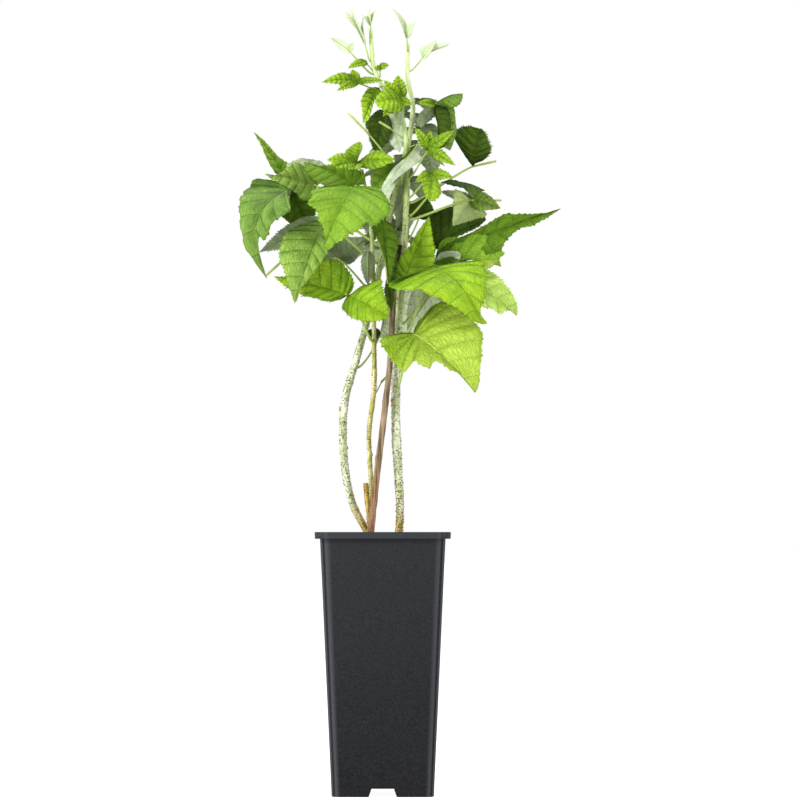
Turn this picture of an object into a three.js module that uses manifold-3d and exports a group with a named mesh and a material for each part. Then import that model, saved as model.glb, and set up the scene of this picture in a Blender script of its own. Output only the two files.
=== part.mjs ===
// A young raspberry plant in a tall square nursery pot.
// Three living canes and one old cut-off cane stand in the pot. Every leaf is a piece of its own: a leaf
// stalk with one to six leaflets fused to it, whose foot meets its cane just clear.
// Millimetres, +Z up, front towards -Y. Heights are measured from what the pot stands on, and X and Y from
// the pot's own axis. The whole plant is then moved sideways, so that its outline is centred on the origin.

import * as THREE from 'three';
import { mergeVertices } from 'three/addons/utils/BufferGeometryUtils.js';
import Module from 'manifold-3d';

const wasm = await Module();
wasm.setup();

// ---- driving dimensions ---------------------------------------------------------------------------------

const PLANT_SHIFT_X = -17.5;   // the crown reaches further to the right of the pot than to the left

const POT_HEIGHT = 261;
const RIM_WIDTH = 134.5;
const RIM_DEPTH = 6.7;         // how far the rim's lip hangs down
const BODY_TOP_WIDTH = 124.5;
const BODY_FOOT_WIDTH = 101;
const POT_WALL = 1.8;
const SKIRT_WALL = 2.6;
const CORNER_RADIUS = 11;      // of the body at its top
const RIM_CORNER_RADIUS = 14;
const RIM_DRAFT = 0.6;         // how much narrower the lip is at its lower edge
const RIM_LEDGE = 2;           // thickness of the flat ledge between the body and the lip
const BASE_HEIGHT = 12;        // underside of the pot's floor, which the skirt lifts clear of the ground
const BASE_THICKNESS = 2;
const NOTCH = { top: 22, foot: 28, height: 8.2, depth: 12 };
const DRAIN_HOLE = { radius: 4, spacing: 26, sides: 12 };
const OVERRUN = 1;             // how far a cutter reaches past the face that it cuts

const SOIL_TOP = 245;
const CLEAR = 0.3;             // between pieces that touch
const SLIVER = 0.04;           // edges shorter than this, which a join can leave, are closed up

const LEAF_THICKNESS = 1.1;    // at the midrib of a small leaflet
const THICKNESS_SHARE = 0.0125; // of the length, on a large one
const LONG_LEAFLET = 75;       // past this length a leaflet gets more teeth
const LONG_STATIONS = 9;       // places along a leaflet where its outline has a point
const SHORT_STATIONS = 6;
const LEAFLET_SUNK = 0.4;      // how far a leaflet's foot starts behind the joint
const BASE_ROUNDNESS = 0.55;   // outline of a leaflet: widest at about a third of its length
const TIP_SLENDERNESS = 1.15;
const TOOTH = 0.09;            // depth of the coarse teeth, as a share of the half width
const FOLD = 0.2;              // how far the two halves of a leaflet rise from its midrib

const STALK_END = 4;           // how far a leaf stalk runs on into the leaflets that are fused to it
const FOOT_BOW = 0.14;         // share of its reach for which it keeps its direction at its foot,
const JOINT_BOW = 0.16;        // and at the joint
const STALK_RADIUS = { least: 0.5, perReach: 0.012, most: 1.25 };
const STALK_TAPER = [1.15, 0.9]; // of that radius, at its foot and at its end
const LONG_STALK = 30;         // past this reach a leaf stalk gets more rings
const BARE = 3;                // a leaflet narrower than this is a stalk whose blade is gone

const COLOURS = {
  pot: '#343538', soil: '#3a2a1e', greenCane: '#cdd99f', oldCane: '#a5805f',
  leaf: '#7fa83a', dark: '#456a1c', young: '#a3cc3c', pale: '#c9dc92',
};

// ---- the canes: points up the middle, and the radius at each ---------------------------------------------

const CANES = {
  cane_left: {
    colour: 'greenCane',
    points: [[-9, 9, 245], [-17, 9, 263], [-29.5, 9, 287], [-38, 9, 325], [-38.7, 9, 388], [-25.5, 9, 438],
      [-16, 9, 472], [-5, 10, 519], [7, 11, 580], [21, 11, 633], [30, 11, 685], [25, 9, 717], [25, 8, 752]],
    radii: [3.7, 3.5, 3.5, 3.5, 3.4, 3.3, 3.2, 3.1, 3, 2.7, 2.3, 1.7],
  },
  cane_right: {
    colour: 'greenCane',
    points: [[15, 2, 245], [17, 2, 284], [13, 2, 361], [13, 2, 417], [16, 2, 480], [21, 1, 547],
      [24, -1, 618], [21, -2, 667], [11, -2, 693], [-1, -1, 708], [-9, -1, 726], [-11.5, 0, 748],
      [-12.5, 0, 766]],
    radii: [3.6, 3.8, 4.2, 4.2, 4, 3.8, 3.4, 3, 2.8, 2.6, 2.4, 1.9],
  },
  cane_middle: {
    colour: 'greenCane',
    points: [[-13.5, 1, 288], [-12, 1, 312], [-13.2, 1, 335], [-14, 1, 361], [-9, 1, 403], [-9, 0, 452],
      [-10, 0, 523], [-13, -1, 575], [-21, -4, 624]],
    radii: [2, 2.3, 2.3, 2.3, 2.2, 2.1, 2, 1.8, 1.3],
    foot: { points: [[-11, 1, 245], [-13.5, 1, 272], [-15.5, 1, 292], [-17.5, 1, 310]], radii: [3, 2.7, 2.6, 2.4] },
  },
  old_cane: {
    colour: 'oldCane',
    points: [[-14, -6, 245], [-7, -7, 310], [2, -8, 384], [7, -8, 432], [11, -9, 500], [16.5, -9, 548]],
    radii: [3.7, 3.3, 3.1, 3, 2.8, 2.7],
  },
};

// ---- the leaves -------------------------------------------------------------------------------------------
// Each row: the leaf's name, its cane, the height of its foot on that cane, the joint where its leaflets
// meet, its leaflets, and its colour. A leaflet is [tip x, tip y, tip z, width, roll, arch]. A roll of 0
// turns the upper side to the front, 90 turns it up and 180 to the back. The arch is how high the leaflet
// bows above its straight line, as a share of its length.

const LEAVES = [
  ['leaf_low_right', 'cane_right', 406, [30, -34, 458], [
    [91, -68, 398, 80, 14, 0.14], [22, -56, 416, 44, -12, 0.08], [-3, -50, 449, 26, 0, 0.05]], 'young'],
  ['leaf_mid_right', 'cane_right', 443, [49, -30, 524], [
    [98, -80, 465, 68, 25, 0.2], [7, -52, 509, 34, 10, 0.08], [115, -26, 532, 14, 20, 0.06]], 'young'],
  ['leaf_pale_right', 'cane_right', 470, [58, -6, 514], [
    [133, -28, 476, 48, 30, 0.16], [84, -12, 488, 30, 0, 0.1], [24, 6, 463, 34, 172, 0.05]], 'young'],
  ['leaf_upright', 'cane_right', 492, [22, -17, 513], [[46, -27, 575, 36, 0, 0.06]], 'young'],
  ['leaf_low_grey', 'cane_left', 427, [-4, 17, 456], [
    [14, 19, 520, 40, 175, 0.05], [-17, 17, 463, 12, 0, 0.05]], 'leaf'],
  ['leaf_long_right', 'cane_right', 522, [52, 8, 532], [
    [178, 4, 585, 48, 12, 0.1], [118, -14, 526, 34, 28, 0.14], [78, -13, 537, 12, 165, 0.06]], 'leaf'],
  ['leaf_dark_right', 'cane_right', 540, [47, 30, 549], [
    [104, 30, 576, 36, 10, 0.1], [60, 34, 588, 26, 10, 0.1]], 'dark'],
  ['leaf_round_dark', 'cane_right', 553, [36, 13, 576], [[42, 16, 599, 25, 0, 0.06]], 'dark'],
  ['leaf_olive_right', 'cane_right', 574, [88, 14, 595], [
    [118, 10, 586, 18, 15, 0.08], [70, 6, 568, 32, 168, 0.08], [57, 20, 604, 9, 165, 0.05],
    [119, 22, 595, 2.4, 0, 0]], 'leaf'],
  ['leaf_far_right', 'cane_right', 591, [89, 22, 629], [
    [114, 26, 635, 2.4, 0, 0], [97, 16, 667, 38, -10, 0.08]], 'dark'],
  ['leaf_narrow_right', 'cane_right', 578, [58, 2, 611], [[102, 0, 603, 13, 50, 0.1]], 'dark'],
  ['leaf_trio_right', 'cane_right', 596, [49, -20, 619], [
    [47, -30, 590, 17, 0, 0.1], [32, -28, 609, 10, 10, 0.1], [70, -28, 614, 10, 10, 0.1]], 'young'],
  ['leaf_young_right', 'cane_right', 616, [45, -15, 643], [
    [71, -24, 661, 10, 0, 0.1], [72, -26, 626, 10, 0, 0.1], [47, -20, 661, 10, 0, 0.1],
    [32, -22, 664, 9, 0, 0.08], [50, 4, 616, 20, 172, 0.05]], 'young'],
  ['leaf_silver', 'cane_right', 646, [36, -8, 650], [
    [-1, -34, 600, 14, 172, 0.04], [-11, -8, 604, 22, 0, 0.02], [3, -12, 588, 8, 172, 0.03]], 'leaf'],
  ['leaf_inner_grey', 'cane_right', 620, [22, 6, 610], [[13, 6, 563, 9, 175, 0.03]], 'leaf'],
  ['leaf_curled_right', 'cane_left', 676, [51, 0, 689], [
    [80, -2, 700, 13, 40, 0.12], [34, -4, 668, 20, 165, 0.15], [57, 2, 645, 20, 10, 0.1],
    [35, -8, 690, 8, 20, 0.1], [67, 7, 644, 14, 16, 0.07]], 'leaf'],

  ['leaf_low_left', 'cane_middle', 452, [-34, -32, 496], [
    [-108, -28, 515, 42, 12, 0.06], [7, -56, 473, 46, 8, 0.08]], 'young'],
  ['leaf_front', 'cane_right', 508, [-26, -50, 605], [
    [-58, -88, 539, 82, 12, 0.12], [-78, -40, 628, 40, 20, 0.1]], 'leaf'],
  ['leaf_quilted', 'cane_left', 530, [-60, -18, 570], [
    [-87, -54, 487, 52, 5, 0.1], [-124, -2, 541, 24, 165, 0.1], [-117, -8, 517, 2.4, 0, 0]], 'leaf'],
  ['leaf_far_left', 'cane_left', 548, [-91, 8, 606], [
    [-116, -16, 514, 50, 48, 0.32], [-130, 14, 663, 26, 40, 0.04], [-72, 4, 560, 38, 10, 0.1]], 'leaf'],
  ['leaf_upper_left', 'cane_left', 566, [-66, -8, 607], [
    [-117, -28, 617, 30, 15, 0.1], [-76, 14, 636, 40, 150, 0.08]], 'leaf'],
  ['leaf_grey', 'cane_middle', 503, [-45, 8, 536], [
    [-63, 4, 536, 12, 165, 0.06], [-40, 16, 566, 30, 175, 0.06], [-16, 15, 557, 24, 170, 0.06]], 'dark'],
  ['leaf_folded', 'cane_middle', 562, [-1, -28, 577], [
    [6, -36, 507, 20, 0, 0.08], [9, -14, 481, 20, 0, 0.05], [5, -26, 508, 2.2, 0, 0]], 'dark'],
  ['leaf_small_grey', 'cane_middle', 534, [-15, -8, 541], [[-15, -12, 507, 12, 175, 0.05]], 'dark'],
  ['leaf_young_left', 'cane_middle', 622, [-26, -12, 630], [
    [-59, -30, 620, 16, 20, 0.12], [-56, -8, 633, 14, 20, 0.12], [-23, -2, 652, 14, 0, 0.05],
    [-30, -30, 616, 13, 10, 0.1], [12, -26, 632, 17, 15, 0.12]], 'young'],

  ['leaf_top_dark', 'cane_right', 672, [3, 14, 684], [
    [-8, 18, 642, 26, 0, 0.1], [17, 6, 642, 20, 172, 0.05]], 'dark'],
  ['leaf_top_fan', 'cane_right', 688, [17, -12, 694], [
    [-8, -26, 689, 22, 10, 0.12], [0, -24, 675, 11, 10, 0.1], [29, -14, 688, 8, 0, 0.1],
    [15, -14, 662, 9, 170, 0.05], [15, -10, 718, 15, 0, 0.08], [1, -18, 712, 12, 0, 0.08]], 'young'],
  ['leaf_top_hanging', 'cane_right', 708, [-4, -9, 705], [[-20, -22, 669, 17, 5, 0.1]], 'leaf'],
  ['leaf_top_left', 'cane_right', 704, [-26, -8, 711], [
    [-61, -16, 710, 13, 25, 0.12], [-46, -22, 701, 7, 10, 0.1], [-31, -6, 724, 9, 0, 0.06],
    [0, -14, 712, 6, 20, 0.08]], 'young'],
  ['leaf_top_tiny', 'cane_right', 716, [-3, -6, 727], [
    [6, -10, 728, 5, 0, 0.05], [-9, -8, 725, 4, 0, 0.05]], 'young'],
  ['leaf_top_strip', 'cane_right', 724, [-16, -4, 731], [[-35, -8, 725, 8, 30, 0.12]], 'young'],
  ['leaf_top_pale', 'cane_right', 721, [-33, -4, 742], [
    [-53, -8, 756, 9, 160, 0.1], [-30, -6, 752, 5, 0, 0.05]], 'pale'],
  ['leaf_top_feathery', 'cane_right', 733, [-18, -3, 750], [
    [-37, -3, 782, 7, 40, 0.1], [-20, -4, 777, 5, 60, 0.06], [-32, -3, 785, 4, 40, 0.08]], 'pale'],
  ['shoot_tip_left', 'cane_right', 757, [-12.5, -4, 769], [
    [-13, -5, 786, 7, 60, 0.06], [-8, -4, 784, 6, 60, 0.05], [-21, -5, 779, 6, 40, 0.1]], 'pale'],
  ['leaf_top_right', 'cane_left', 724, [40, 2, 737], [
    [54, -2, 754, 8, 20, 0.08], [67, -6, 750, 9, 150, 0.1]], 'pale'],
  ['shoot_tip_right', 'cane_left', 744, [24, 3, 757], [
    [9, 2, 787, 8, 50, 0.1], [32, -1, 773, 7, 20, 0.15]], 'pale'],

  ['stalk_left_long', 'cane_left', 626, [-13, 6, 659], [[-35, 8, 681.5, 2.4, 0, 0]], 'leaf'],
  ['stalk_left_short', 'cane_right', 656, [8, -10, 664], [[-4, -13, 671, 2.4, 0, 0]], 'leaf'],
  ['stalk_middle', 'cane_middle', 401, [-2, 6, 411], [[4, 9, 417, 2.4, 0, 0]], 'leaf'],
];

// The leaves on the far side grow by a rule: up one cane in even steps, each turned on from the last, with
// three leaflets whose upper sides look to the sky. Pairs of values are for the lowest and the highest leaf.
const BACK_LEAVES = {
  count: 12, low: 536, high: 694, cane: 'cane_left',
  swing: [70, 30], step: 185,    // degrees: how far they turn from straight back, and from leaf to leaf
  stalk: [36, 20], rise: [17, 4], length: [54, 35],
  widthShare: 0.62, droop: 26, spread: 64, sideShare: 0.78, arch: 0.08, pairBack: 14,
};
const UPWARD = null;           // in place of a roll: the upper side looks to the sky

// ---- solids -----------------------------------------------------------------------------------------------

function solid(geometry) {
  geometry.deleteAttribute('normal');
  geometry.deleteAttribute('uv');
  const merged = mergeVertices(geometry, 1e-4);
  return new wasm.Manifold(new wasm.Mesh({
    numProp: 3,
    vertProperties: new Float32Array(merged.attributes.position.array),
    triVerts: new Uint32Array(merged.index.array),
  }));
}

function geometryOf(body) {
  const mesh = body.getMesh();
  const geometry = new THREE.BufferGeometry();
  geometry.setAttribute('position', new THREE.BufferAttribute(new Float32Array(mesh.vertProperties), 3));
  geometry.setIndex(new THREE.BufferAttribute(new Uint32Array(mesh.triVerts), 1));
  geometry.computeVertexNormals();
  return geometry;
}

// Bodies joined into one. A hollow that the join seals is filled, and a loose scrap is dropped.
function fuse(bodies) {
  const largest = (body) => body.decompose().reduce((a, b) => (b.volume() > a.volume() ? b : a));
  const whole = bodies.reduce((joined, body) => joined.add(body));
  return largest(largest(whole).simplify(SLIVER));
}

function moveVertices(geometry, place) {
  const position = geometry.attributes.position;
  const vertex = new THREE.Vector3();
  for (let i = 0; i < position.count; i += 1) {
    vertex.fromBufferAttribute(position, i);
    const placed = place(vertex);
    position.setXYZ(i, placed.x, placed.y, placed.z);
  }
  return geometry;
}

// ---- limbs: a closed cylinder laid along a curve, with a radius that changes on the way -----------------

function limb(curve, radiusAt, sides, steps) {
  const frames = curve.computeFrenetFrames(steps, false);
  const cylinder = new THREE.CylinderGeometry(1, 1, steps, sides, steps);
  return solid(moveVertices(cylinder, (v) => {
    const step = Math.round(v.y + steps / 2);
    const radius = radiusAt(step / steps);
    return curve.getPointAt(step / steps)
      .addScaledVector(frames.normals[step], v.x * radius)
      .addScaledVector(frames.binormals[step], -v.z * radius);
  }));
}

const curveThrough = (points) => new THREE.CatmullRomCurve3(points.map((p) => new THREE.Vector3(...p)));

function between(values, share) {
  const place = share * (values.length - 1);
  const low = Math.min(Math.floor(place), values.length - 2);
  return values[low] + (values[low + 1] - values[low]) * (place - low);
}

// The flat cut at ground level: everything of a limb below the soil's surface is taken off.
function cutAtSoil(body) {
  const below = new THREE.BoxGeometry(RIM_WIDTH, RIM_WIDTH, SOIL_TOP);
  below.translate(0, 0, SOIL_TOP / 2 + CLEAR);
  return body.subtract(solid(below));
}

const CANE_SIDES = 8;
const CANE_STEP = 16;          // distance between rings

function stem(points, radii) {
  const curve = curveThrough(points);
  return limb(curve, (share) => between(radii, share), CANE_SIDES, Math.round(curve.getLength() / CANE_STEP));
}

function cane({ points, radii, foot }) {
  const parts = [stem(points, radii)];
  if (foot) parts.push(stem(foot.points, foot.radii));
  return cutAtSoil(fuse(parts));
}

// The point, direction and radius of a cane where it passes a given height.
function caneAt({ points, radii }, height) {
  const curve = curveThrough(points);
  let [low, high] = [0, 1];
  for (let halving = 0; halving < 30; halving += 1) {
    const middle = (low + high) / 2;
    if (curve.getPointAt(middle).z < height) low = middle;
    else high = middle;
  }
  return { point: curve.getPointAt(low), along: curve.getTangentAt(low), radius: between(radii, low) };
}

// ---- leaves ---------------------------------------------------------------------------------------------

const FRONT = new THREE.Vector3(0, -1, 0);

// The three directions of a leaflet: along its midrib, out of its upper side, and across it.
function leafletFrame(joint, tip, roll) {
  const along = tip.clone().sub(joint).normalize();
  if (roll === UPWARD) {
    const upper = new THREE.Vector3(0, 0, 1).addScaledVector(along, -along.z).normalize();
    return { along, upper, across: new THREE.Vector3().crossVectors(upper, along) };
  }
  const facing = FRONT.clone().addScaledVector(along, -FRONT.dot(along)).normalize();
  const rising = new THREE.Vector3().crossVectors(along, facing);
  const outward = new THREE.Vector3(Math.sign(joint.x) * 0.5, 0, 1);
  if (rising.dot(outward) < 0) rising.negate();
  const turn = THREE.MathUtils.degToRad(roll);
  const upper = facing.multiplyScalar(Math.cos(turn)).addScaledVector(rising, Math.sin(turn));
  return { along, upper, across: new THREE.Vector3().crossVectors(upper, along) };
}

const OUTLINE_PEAK = BASE_ROUNDNESS / (BASE_ROUNDNESS + TIP_SLENDERNESS);
const outline = (t) => t ** BASE_ROUNDNESS * (1 - t) ** TIP_SLENDERNESS;
const halfWidthShare = (t) => outline(t) / outline(OUTLINE_PEAK);

// A leaflet is a four-sided ball drawn out from its foot to its tip: two edges, and a midrib above and below.
function leaflet(joint, tip, width, roll, arch) {
  const length = joint.distanceTo(tip);
  const { along, upper, across } = leafletFrame(joint, tip, roll);
  const foot = joint.clone().addScaledVector(along, -LEAFLET_SUNK);
  const stations = length > LONG_LEAFLET ? LONG_STATIONS : SHORT_STATIONS;
  const thickness = Math.max(LEAF_THICKNESS, THICKNESS_SHARE * length);
  const ball = new THREE.SphereGeometry(1, 4, stations);
  return solid(moveVertices(ball, (v) => {
    const station = Math.round(Math.acos(THREE.MathUtils.clamp(v.y, -1, 1)) / Math.PI * stations);
    const t = station / stations;
    const ring = Math.sin(Math.PI * t) || 1;
    const side = Math.abs(v.x) > 1e-6 ? Math.sign(v.x) : 0;
    const toothed = 1 + TOOTH * (station % 2 ? 1 : -1);
    const reach = side * halfWidthShare(t) * toothed * width / 2;
    const lift = FOLD * Math.abs(reach) + arch * length * Math.sin(Math.PI * t);
    const skin = thickness / 2 * Math.sin(Math.PI * t) ** 0.4 * (v.z / ring);
    return foot.clone()
      .addScaledVector(along, t * (length + LEAFLET_SUNK))
      .addScaledVector(across, reach)
      .addScaledVector(upper, lift + (side ? 0 : skin || 0));
  }));
}

// The direction in which a leaflet starts from the joint, which its leaf stalk runs on into.
function startOf(joint, tip, [, , , , roll, arch]) {
  const { along, upper } = leafletFrame(joint, tip, roll);
  return along.addScaledVector(upper, Math.PI * arch).normalize();
}

function leafStalk(footing, joint, towards) {
  const away = joint.clone().sub(footing.point);
  away.addScaledVector(footing.along, -away.dot(footing.along)).normalize();
  const foot = footing.point.clone().addScaledVector(away, footing.radius + CLEAR);
  const reach = foot.distanceTo(joint);
  const curve = new THREE.CubicBezierCurve3(
    foot,
    foot.clone().addScaledVector(away, FOOT_BOW * reach),
    joint.clone().addScaledVector(towards, -JOINT_BOW * reach),
    joint.clone().addScaledVector(towards, STALK_END),
  );
  const radius = Math.min(STALK_RADIUS.most, STALK_RADIUS.least + STALK_RADIUS.perReach * reach);
  const body = limb(curve, (share) => radius * between(STALK_TAPER, share), 3, reach > LONG_STALK ? 6 : 3);
  return { body, curve };
}

function leaf(caneName, height, jointAt, leaflets, pairBack) {
  const joint = new THREE.Vector3(...jointAt);
  const footing = caneAt(CANES[caneName], height);
  const tips = leaflets.map((row) => new THREE.Vector3(...row));
  const stalk = leafStalk(footing, joint, startOf(joint, tips[0], leaflets[0]));
  const pairJoint = stalk.curve.getPointAt(1 - (pairBack + STALK_END) / stalk.curve.getLength());
  const blades = leaflets.map(([, , , width, roll, arch], i) => {
    const start = i === 0 ? joint : pairJoint;
    if (width < BARE) return limb(new THREE.LineCurve3(start, tips[i]), () => width / 2, 3, 2);
    return leaflet(start, tips[i], width, roll, arch);
  });
  return fuse([stalk.body, ...blades]);
}

// One leaf of the far side, as a row like those above.
function backLeaf(number) {
  const rule = BACK_LEAVES;
  const share = number / (rule.count - 1);
  const height = THREE.MathUtils.lerp(rule.low, rule.high, share);
  const sized = ([low, high]) => THREE.MathUtils.lerp(low, high, share);
  const turned = Math.sin(THREE.MathUtils.degToRad(number * rule.step));
  const bearing = THREE.MathUtils.degToRad(90 + sized(rule.swing) * turned);
  const droop = THREE.MathUtils.degToRad(rule.droop);
  const outAlong = (turn, reach, rise) => new THREE.Vector3(
    Math.cos(bearing + turn) * reach, Math.sin(bearing + turn) * reach, rise);
  const joint = caneAt(CANES[rule.cane], height).point.add(outAlong(0, sized(rule.stalk), sized(rule.rise)));
  const leaflets = [0, 1, -1].map((side) => {
    const length = sized(rule.length) * (side ? rule.sideShare : 1);
    const turn = side * THREE.MathUtils.degToRad(rule.spread);
    const tip = joint.clone().add(outAlong(turn, length * Math.cos(droop), -length * Math.sin(droop)));
    return [...tip.toArray(), length * rule.widthShare, UPWARD, rule.arch];
  });
  return [`leaf_back_${number + 1}`, rule.cane, height, joint.toArray(), leaflets, 'leaf', rule.pairBack];
}

// ---- the pot --------------------------------------------------------------------------------------------

function roundedSquare(width, radius) {
  const half = width / 2;
  const shape = new THREE.Shape();
  shape.moveTo(half - radius, -half);
  for (let corner = 0; corner < 4; corner += 1) {
    const turn = corner * Math.PI / 2;
    const centre = new THREE.Vector2(half - radius, -(half - radius)).rotateAround(new THREE.Vector2(), turn);
    shape.absarc(centre.x, centre.y, radius, turn - Math.PI / 2, turn, false);
  }
  shape.closePath();
  return shape;
}

// A square prism with rounded corners, whose width runs evenly from one value at its foot to another on top.
function taperedPrism(footWidth, topWidth, low, high, radius) {
  const prism = new THREE.ExtrudeGeometry(roundedSquare(topWidth, radius), {
    depth: high - low, bevelEnabled: false, curveSegments: 4,
  });
  return solid(moveVertices(prism, (v) => {
    const share = v.z / (high - low);
    const scale = THREE.MathUtils.lerp(footWidth, topWidth, share) / topWidth;
    return new THREE.Vector3(v.x * scale, v.y * scale, low + v.z);
  }));
}

const bodyWidth = (height) => THREE.MathUtils.lerp(BODY_FOOT_WIDTH, BODY_TOP_WIDTH, height / POT_HEIGHT);

function insideOf(low, high, wall) {
  return taperedPrism(bodyWidth(low) - 2 * wall, bodyWidth(high) - 2 * wall, low, high, CORNER_RADIUS - wall);
}

function notch(turn) {
  const shape = new THREE.Shape();
  shape.moveTo(-NOTCH.foot / 2, -OVERRUN);
  shape.lineTo(NOTCH.foot / 2, -OVERRUN);
  shape.lineTo(NOTCH.top / 2, NOTCH.height);
  shape.lineTo(-NOTCH.top / 2, NOTCH.height);
  const cut = new THREE.ExtrudeGeometry(shape, { depth: NOTCH.depth, bevelEnabled: false });
  cut.rotateX(Math.PI / 2);
  cut.translate(0, BODY_FOOT_WIDTH / 2 + NOTCH.depth / 2, 0);
  cut.rotateZ(turn);
  return solid(cut);
}

function drainHole(x, y) {
  const { radius, sides } = DRAIN_HOLE;
  const hole = new THREE.CylinderGeometry(radius, radius, BASE_THICKNESS + 2 * OVERRUN, sides);
  hole.rotateX(Math.PI / 2);
  hole.translate(x, y, BASE_HEIGHT + BASE_THICKNESS / 2);
  return solid(hole);
}

function pot() {
  const floorTop = BASE_HEIGHT + BASE_THICKNESS;
  const rimFoot = POT_HEIGHT - RIM_DEPTH;
  const lipInside = RIM_WIDTH - 2 * POT_WALL;
  const ledgeFoot = POT_HEIGHT - RIM_LEDGE;
  const shell = taperedPrism(bodyWidth(0), bodyWidth(POT_HEIGHT), 0, POT_HEIGHT, CORNER_RADIUS);
  const rim = taperedPrism(RIM_WIDTH - RIM_DRAFT, RIM_WIDTH, rimFoot, POT_HEIGHT, RIM_CORNER_RADIUS);
  const lipCorner = RIM_CORNER_RADIUS - POT_WALL;
  const underRim = taperedPrism(lipInside, lipInside, rimFoot - OVERRUN, ledgeFoot, lipCorner);
  let body = rim.subtract(underRim).add(shell);
  body = body.subtract(insideOf(floorTop, POT_HEIGHT + OVERRUN, POT_WALL));
  body = body.subtract(insideOf(-OVERRUN, BASE_HEIGHT, SKIRT_WALL));
  for (let side = 0; side < 4; side += 1) body = body.subtract(notch(side * Math.PI / 2));
  for (const column of [-1, 0, 1]) {
    for (const row of [-1, 0, 1]) {
      body = body.subtract(drainHole(column * DRAIN_HOLE.spacing, row * DRAIN_HOLE.spacing));
    }
  }
  return body;
}

function soil() {
  return insideOf(BASE_HEIGHT + BASE_THICKNESS + CLEAR, SOIL_TOP, POT_WALL + CLEAR);
}

// ---- the scene ------------------------------------------------------------------------------------------

const plant = new THREE.Group();
plant.position.x = PLANT_SHIFT_X;

function addPart(name, body, colour, roughness) {
  const material = new THREE.MeshStandardMaterial({ color: COLOURS[colour], roughness, metalness: 0 });
  const mesh = new THREE.Mesh(geometryOf(body), material);
  mesh.name = name;
  plant.add(mesh);
}

addPart('pot', pot(), 'pot', 0.6);
addPart('soil', soil(), 'soil', 1);
for (const [name, row] of Object.entries(CANES)) addPart(name, cane(row), row.colour, 0.7);
const backLeaves = Array.from({ length: BACK_LEAVES.count }, (_, number) => backLeaf(number));
for (const [name, caneName, height, joint, leaflets, colour, pairBack = 0] of [...LEAVES, ...backLeaves]) {
  addPart(name, leaf(caneName, height, joint, leaflets, pairBack), colour, 0.55);
}

export default plant;
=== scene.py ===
# %% [markdown]
# # A young raspberry in its nursery pot
# The plant is grown here leaf by leaf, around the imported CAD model. That model has one solid for the pot,
# one for the compost, one for each cane and one for each compound leaf. This script makes the surfaces
# that the eye sees: pleated and toothed blades, prickly bark, moulded plastic and crumbly compost.
# The plant and its pot are worked out in millimetres from the pot's own axis, and turned to metres only
# when a mesh is made.

# %% The frame and its units
import math
import random

import bmesh
import bpy
import numpy as np
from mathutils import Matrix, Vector, noise


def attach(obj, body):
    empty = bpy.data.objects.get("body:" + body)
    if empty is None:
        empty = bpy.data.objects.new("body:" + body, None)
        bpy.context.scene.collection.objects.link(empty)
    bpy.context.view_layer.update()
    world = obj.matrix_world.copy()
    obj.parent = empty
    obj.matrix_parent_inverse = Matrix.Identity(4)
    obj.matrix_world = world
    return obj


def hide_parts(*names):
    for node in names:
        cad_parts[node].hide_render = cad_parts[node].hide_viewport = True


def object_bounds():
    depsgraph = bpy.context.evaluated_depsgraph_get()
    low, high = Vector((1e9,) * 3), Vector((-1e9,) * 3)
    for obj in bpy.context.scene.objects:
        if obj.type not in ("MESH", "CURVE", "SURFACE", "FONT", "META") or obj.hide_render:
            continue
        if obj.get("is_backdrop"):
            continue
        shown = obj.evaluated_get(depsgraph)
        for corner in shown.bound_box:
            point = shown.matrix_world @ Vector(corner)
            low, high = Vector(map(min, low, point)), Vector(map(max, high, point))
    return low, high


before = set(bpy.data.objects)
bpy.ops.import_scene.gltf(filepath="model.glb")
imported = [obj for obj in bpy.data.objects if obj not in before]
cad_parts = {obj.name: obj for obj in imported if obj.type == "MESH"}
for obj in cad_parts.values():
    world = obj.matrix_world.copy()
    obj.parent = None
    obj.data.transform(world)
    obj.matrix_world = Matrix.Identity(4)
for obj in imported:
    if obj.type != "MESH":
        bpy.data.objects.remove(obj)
cad_low, cad_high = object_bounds()
MM = 0.001
# The pot's axis stands this many millimetres to the left of the frame's origin.
PLANT_SHIFT_X = -17.5
print(len(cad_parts), "CAD solids")
print("CAD box in mm:", [round(v / MM) for v in cad_low], [round(v / MM) for v in cad_high])

# %% [markdown]
# ## Camera
# The view is that of a catalogue picture: far off, at the height of the pot's rim, tilted up a little. A
# long lens at four metres keeps the pot's sides straight.

# %% Camera
CAMERA_AWAY, CAMERA_HEIGHT = 4.0, 0.261
CAMERA_AIM = Vector((-0.0005, 0, 0.393))


def add_object(name, data):
    """A new object in the scene, with its mesh, lamp or camera."""
    made = bpy.data.objects.new(name, data)
    bpy.context.scene.collection.objects.link(made)
    return made


camera_data = bpy.data.cameras.new("camera")
camera_data.lens = 180
camera_data.sensor_width = 36
camera = add_object("camera", camera_data)
camera.location = (CAMERA_AIM.x, -CAMERA_AWAY, CAMERA_HEIGHT)
camera.rotation_euler = (CAMERA_AIM - camera.location).to_track_quat("-Z", "Y").to_euler()
bpy.context.scene.camera = camera
print("camera", [round(v, 3) for v in camera.location])

# %% [markdown]
# ## Helpers for materials
# Colours are written as sRGB hex values, as a paint chart gives them, and turned to the linear values
# that a shader works in. One function adds any node, with its settings and its inputs. Where an input is
# itself a node, that node's first output is linked.

# %% Helpers for materials
RGBA = {"data_type": "RGBA"}
SMOOTH = {"interpolation_type": "SMOOTHSTEP"}
MULTIPLY, MULTIPLY_ADD, SUBTRACT, MAXIMUM, ABSOLUTE = (
    {"operation": name} for name in ("MULTIPLY", "MULTIPLY_ADD", "SUBTRACT", "MAXIMUM", "ABSOLUTE")
)


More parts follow.
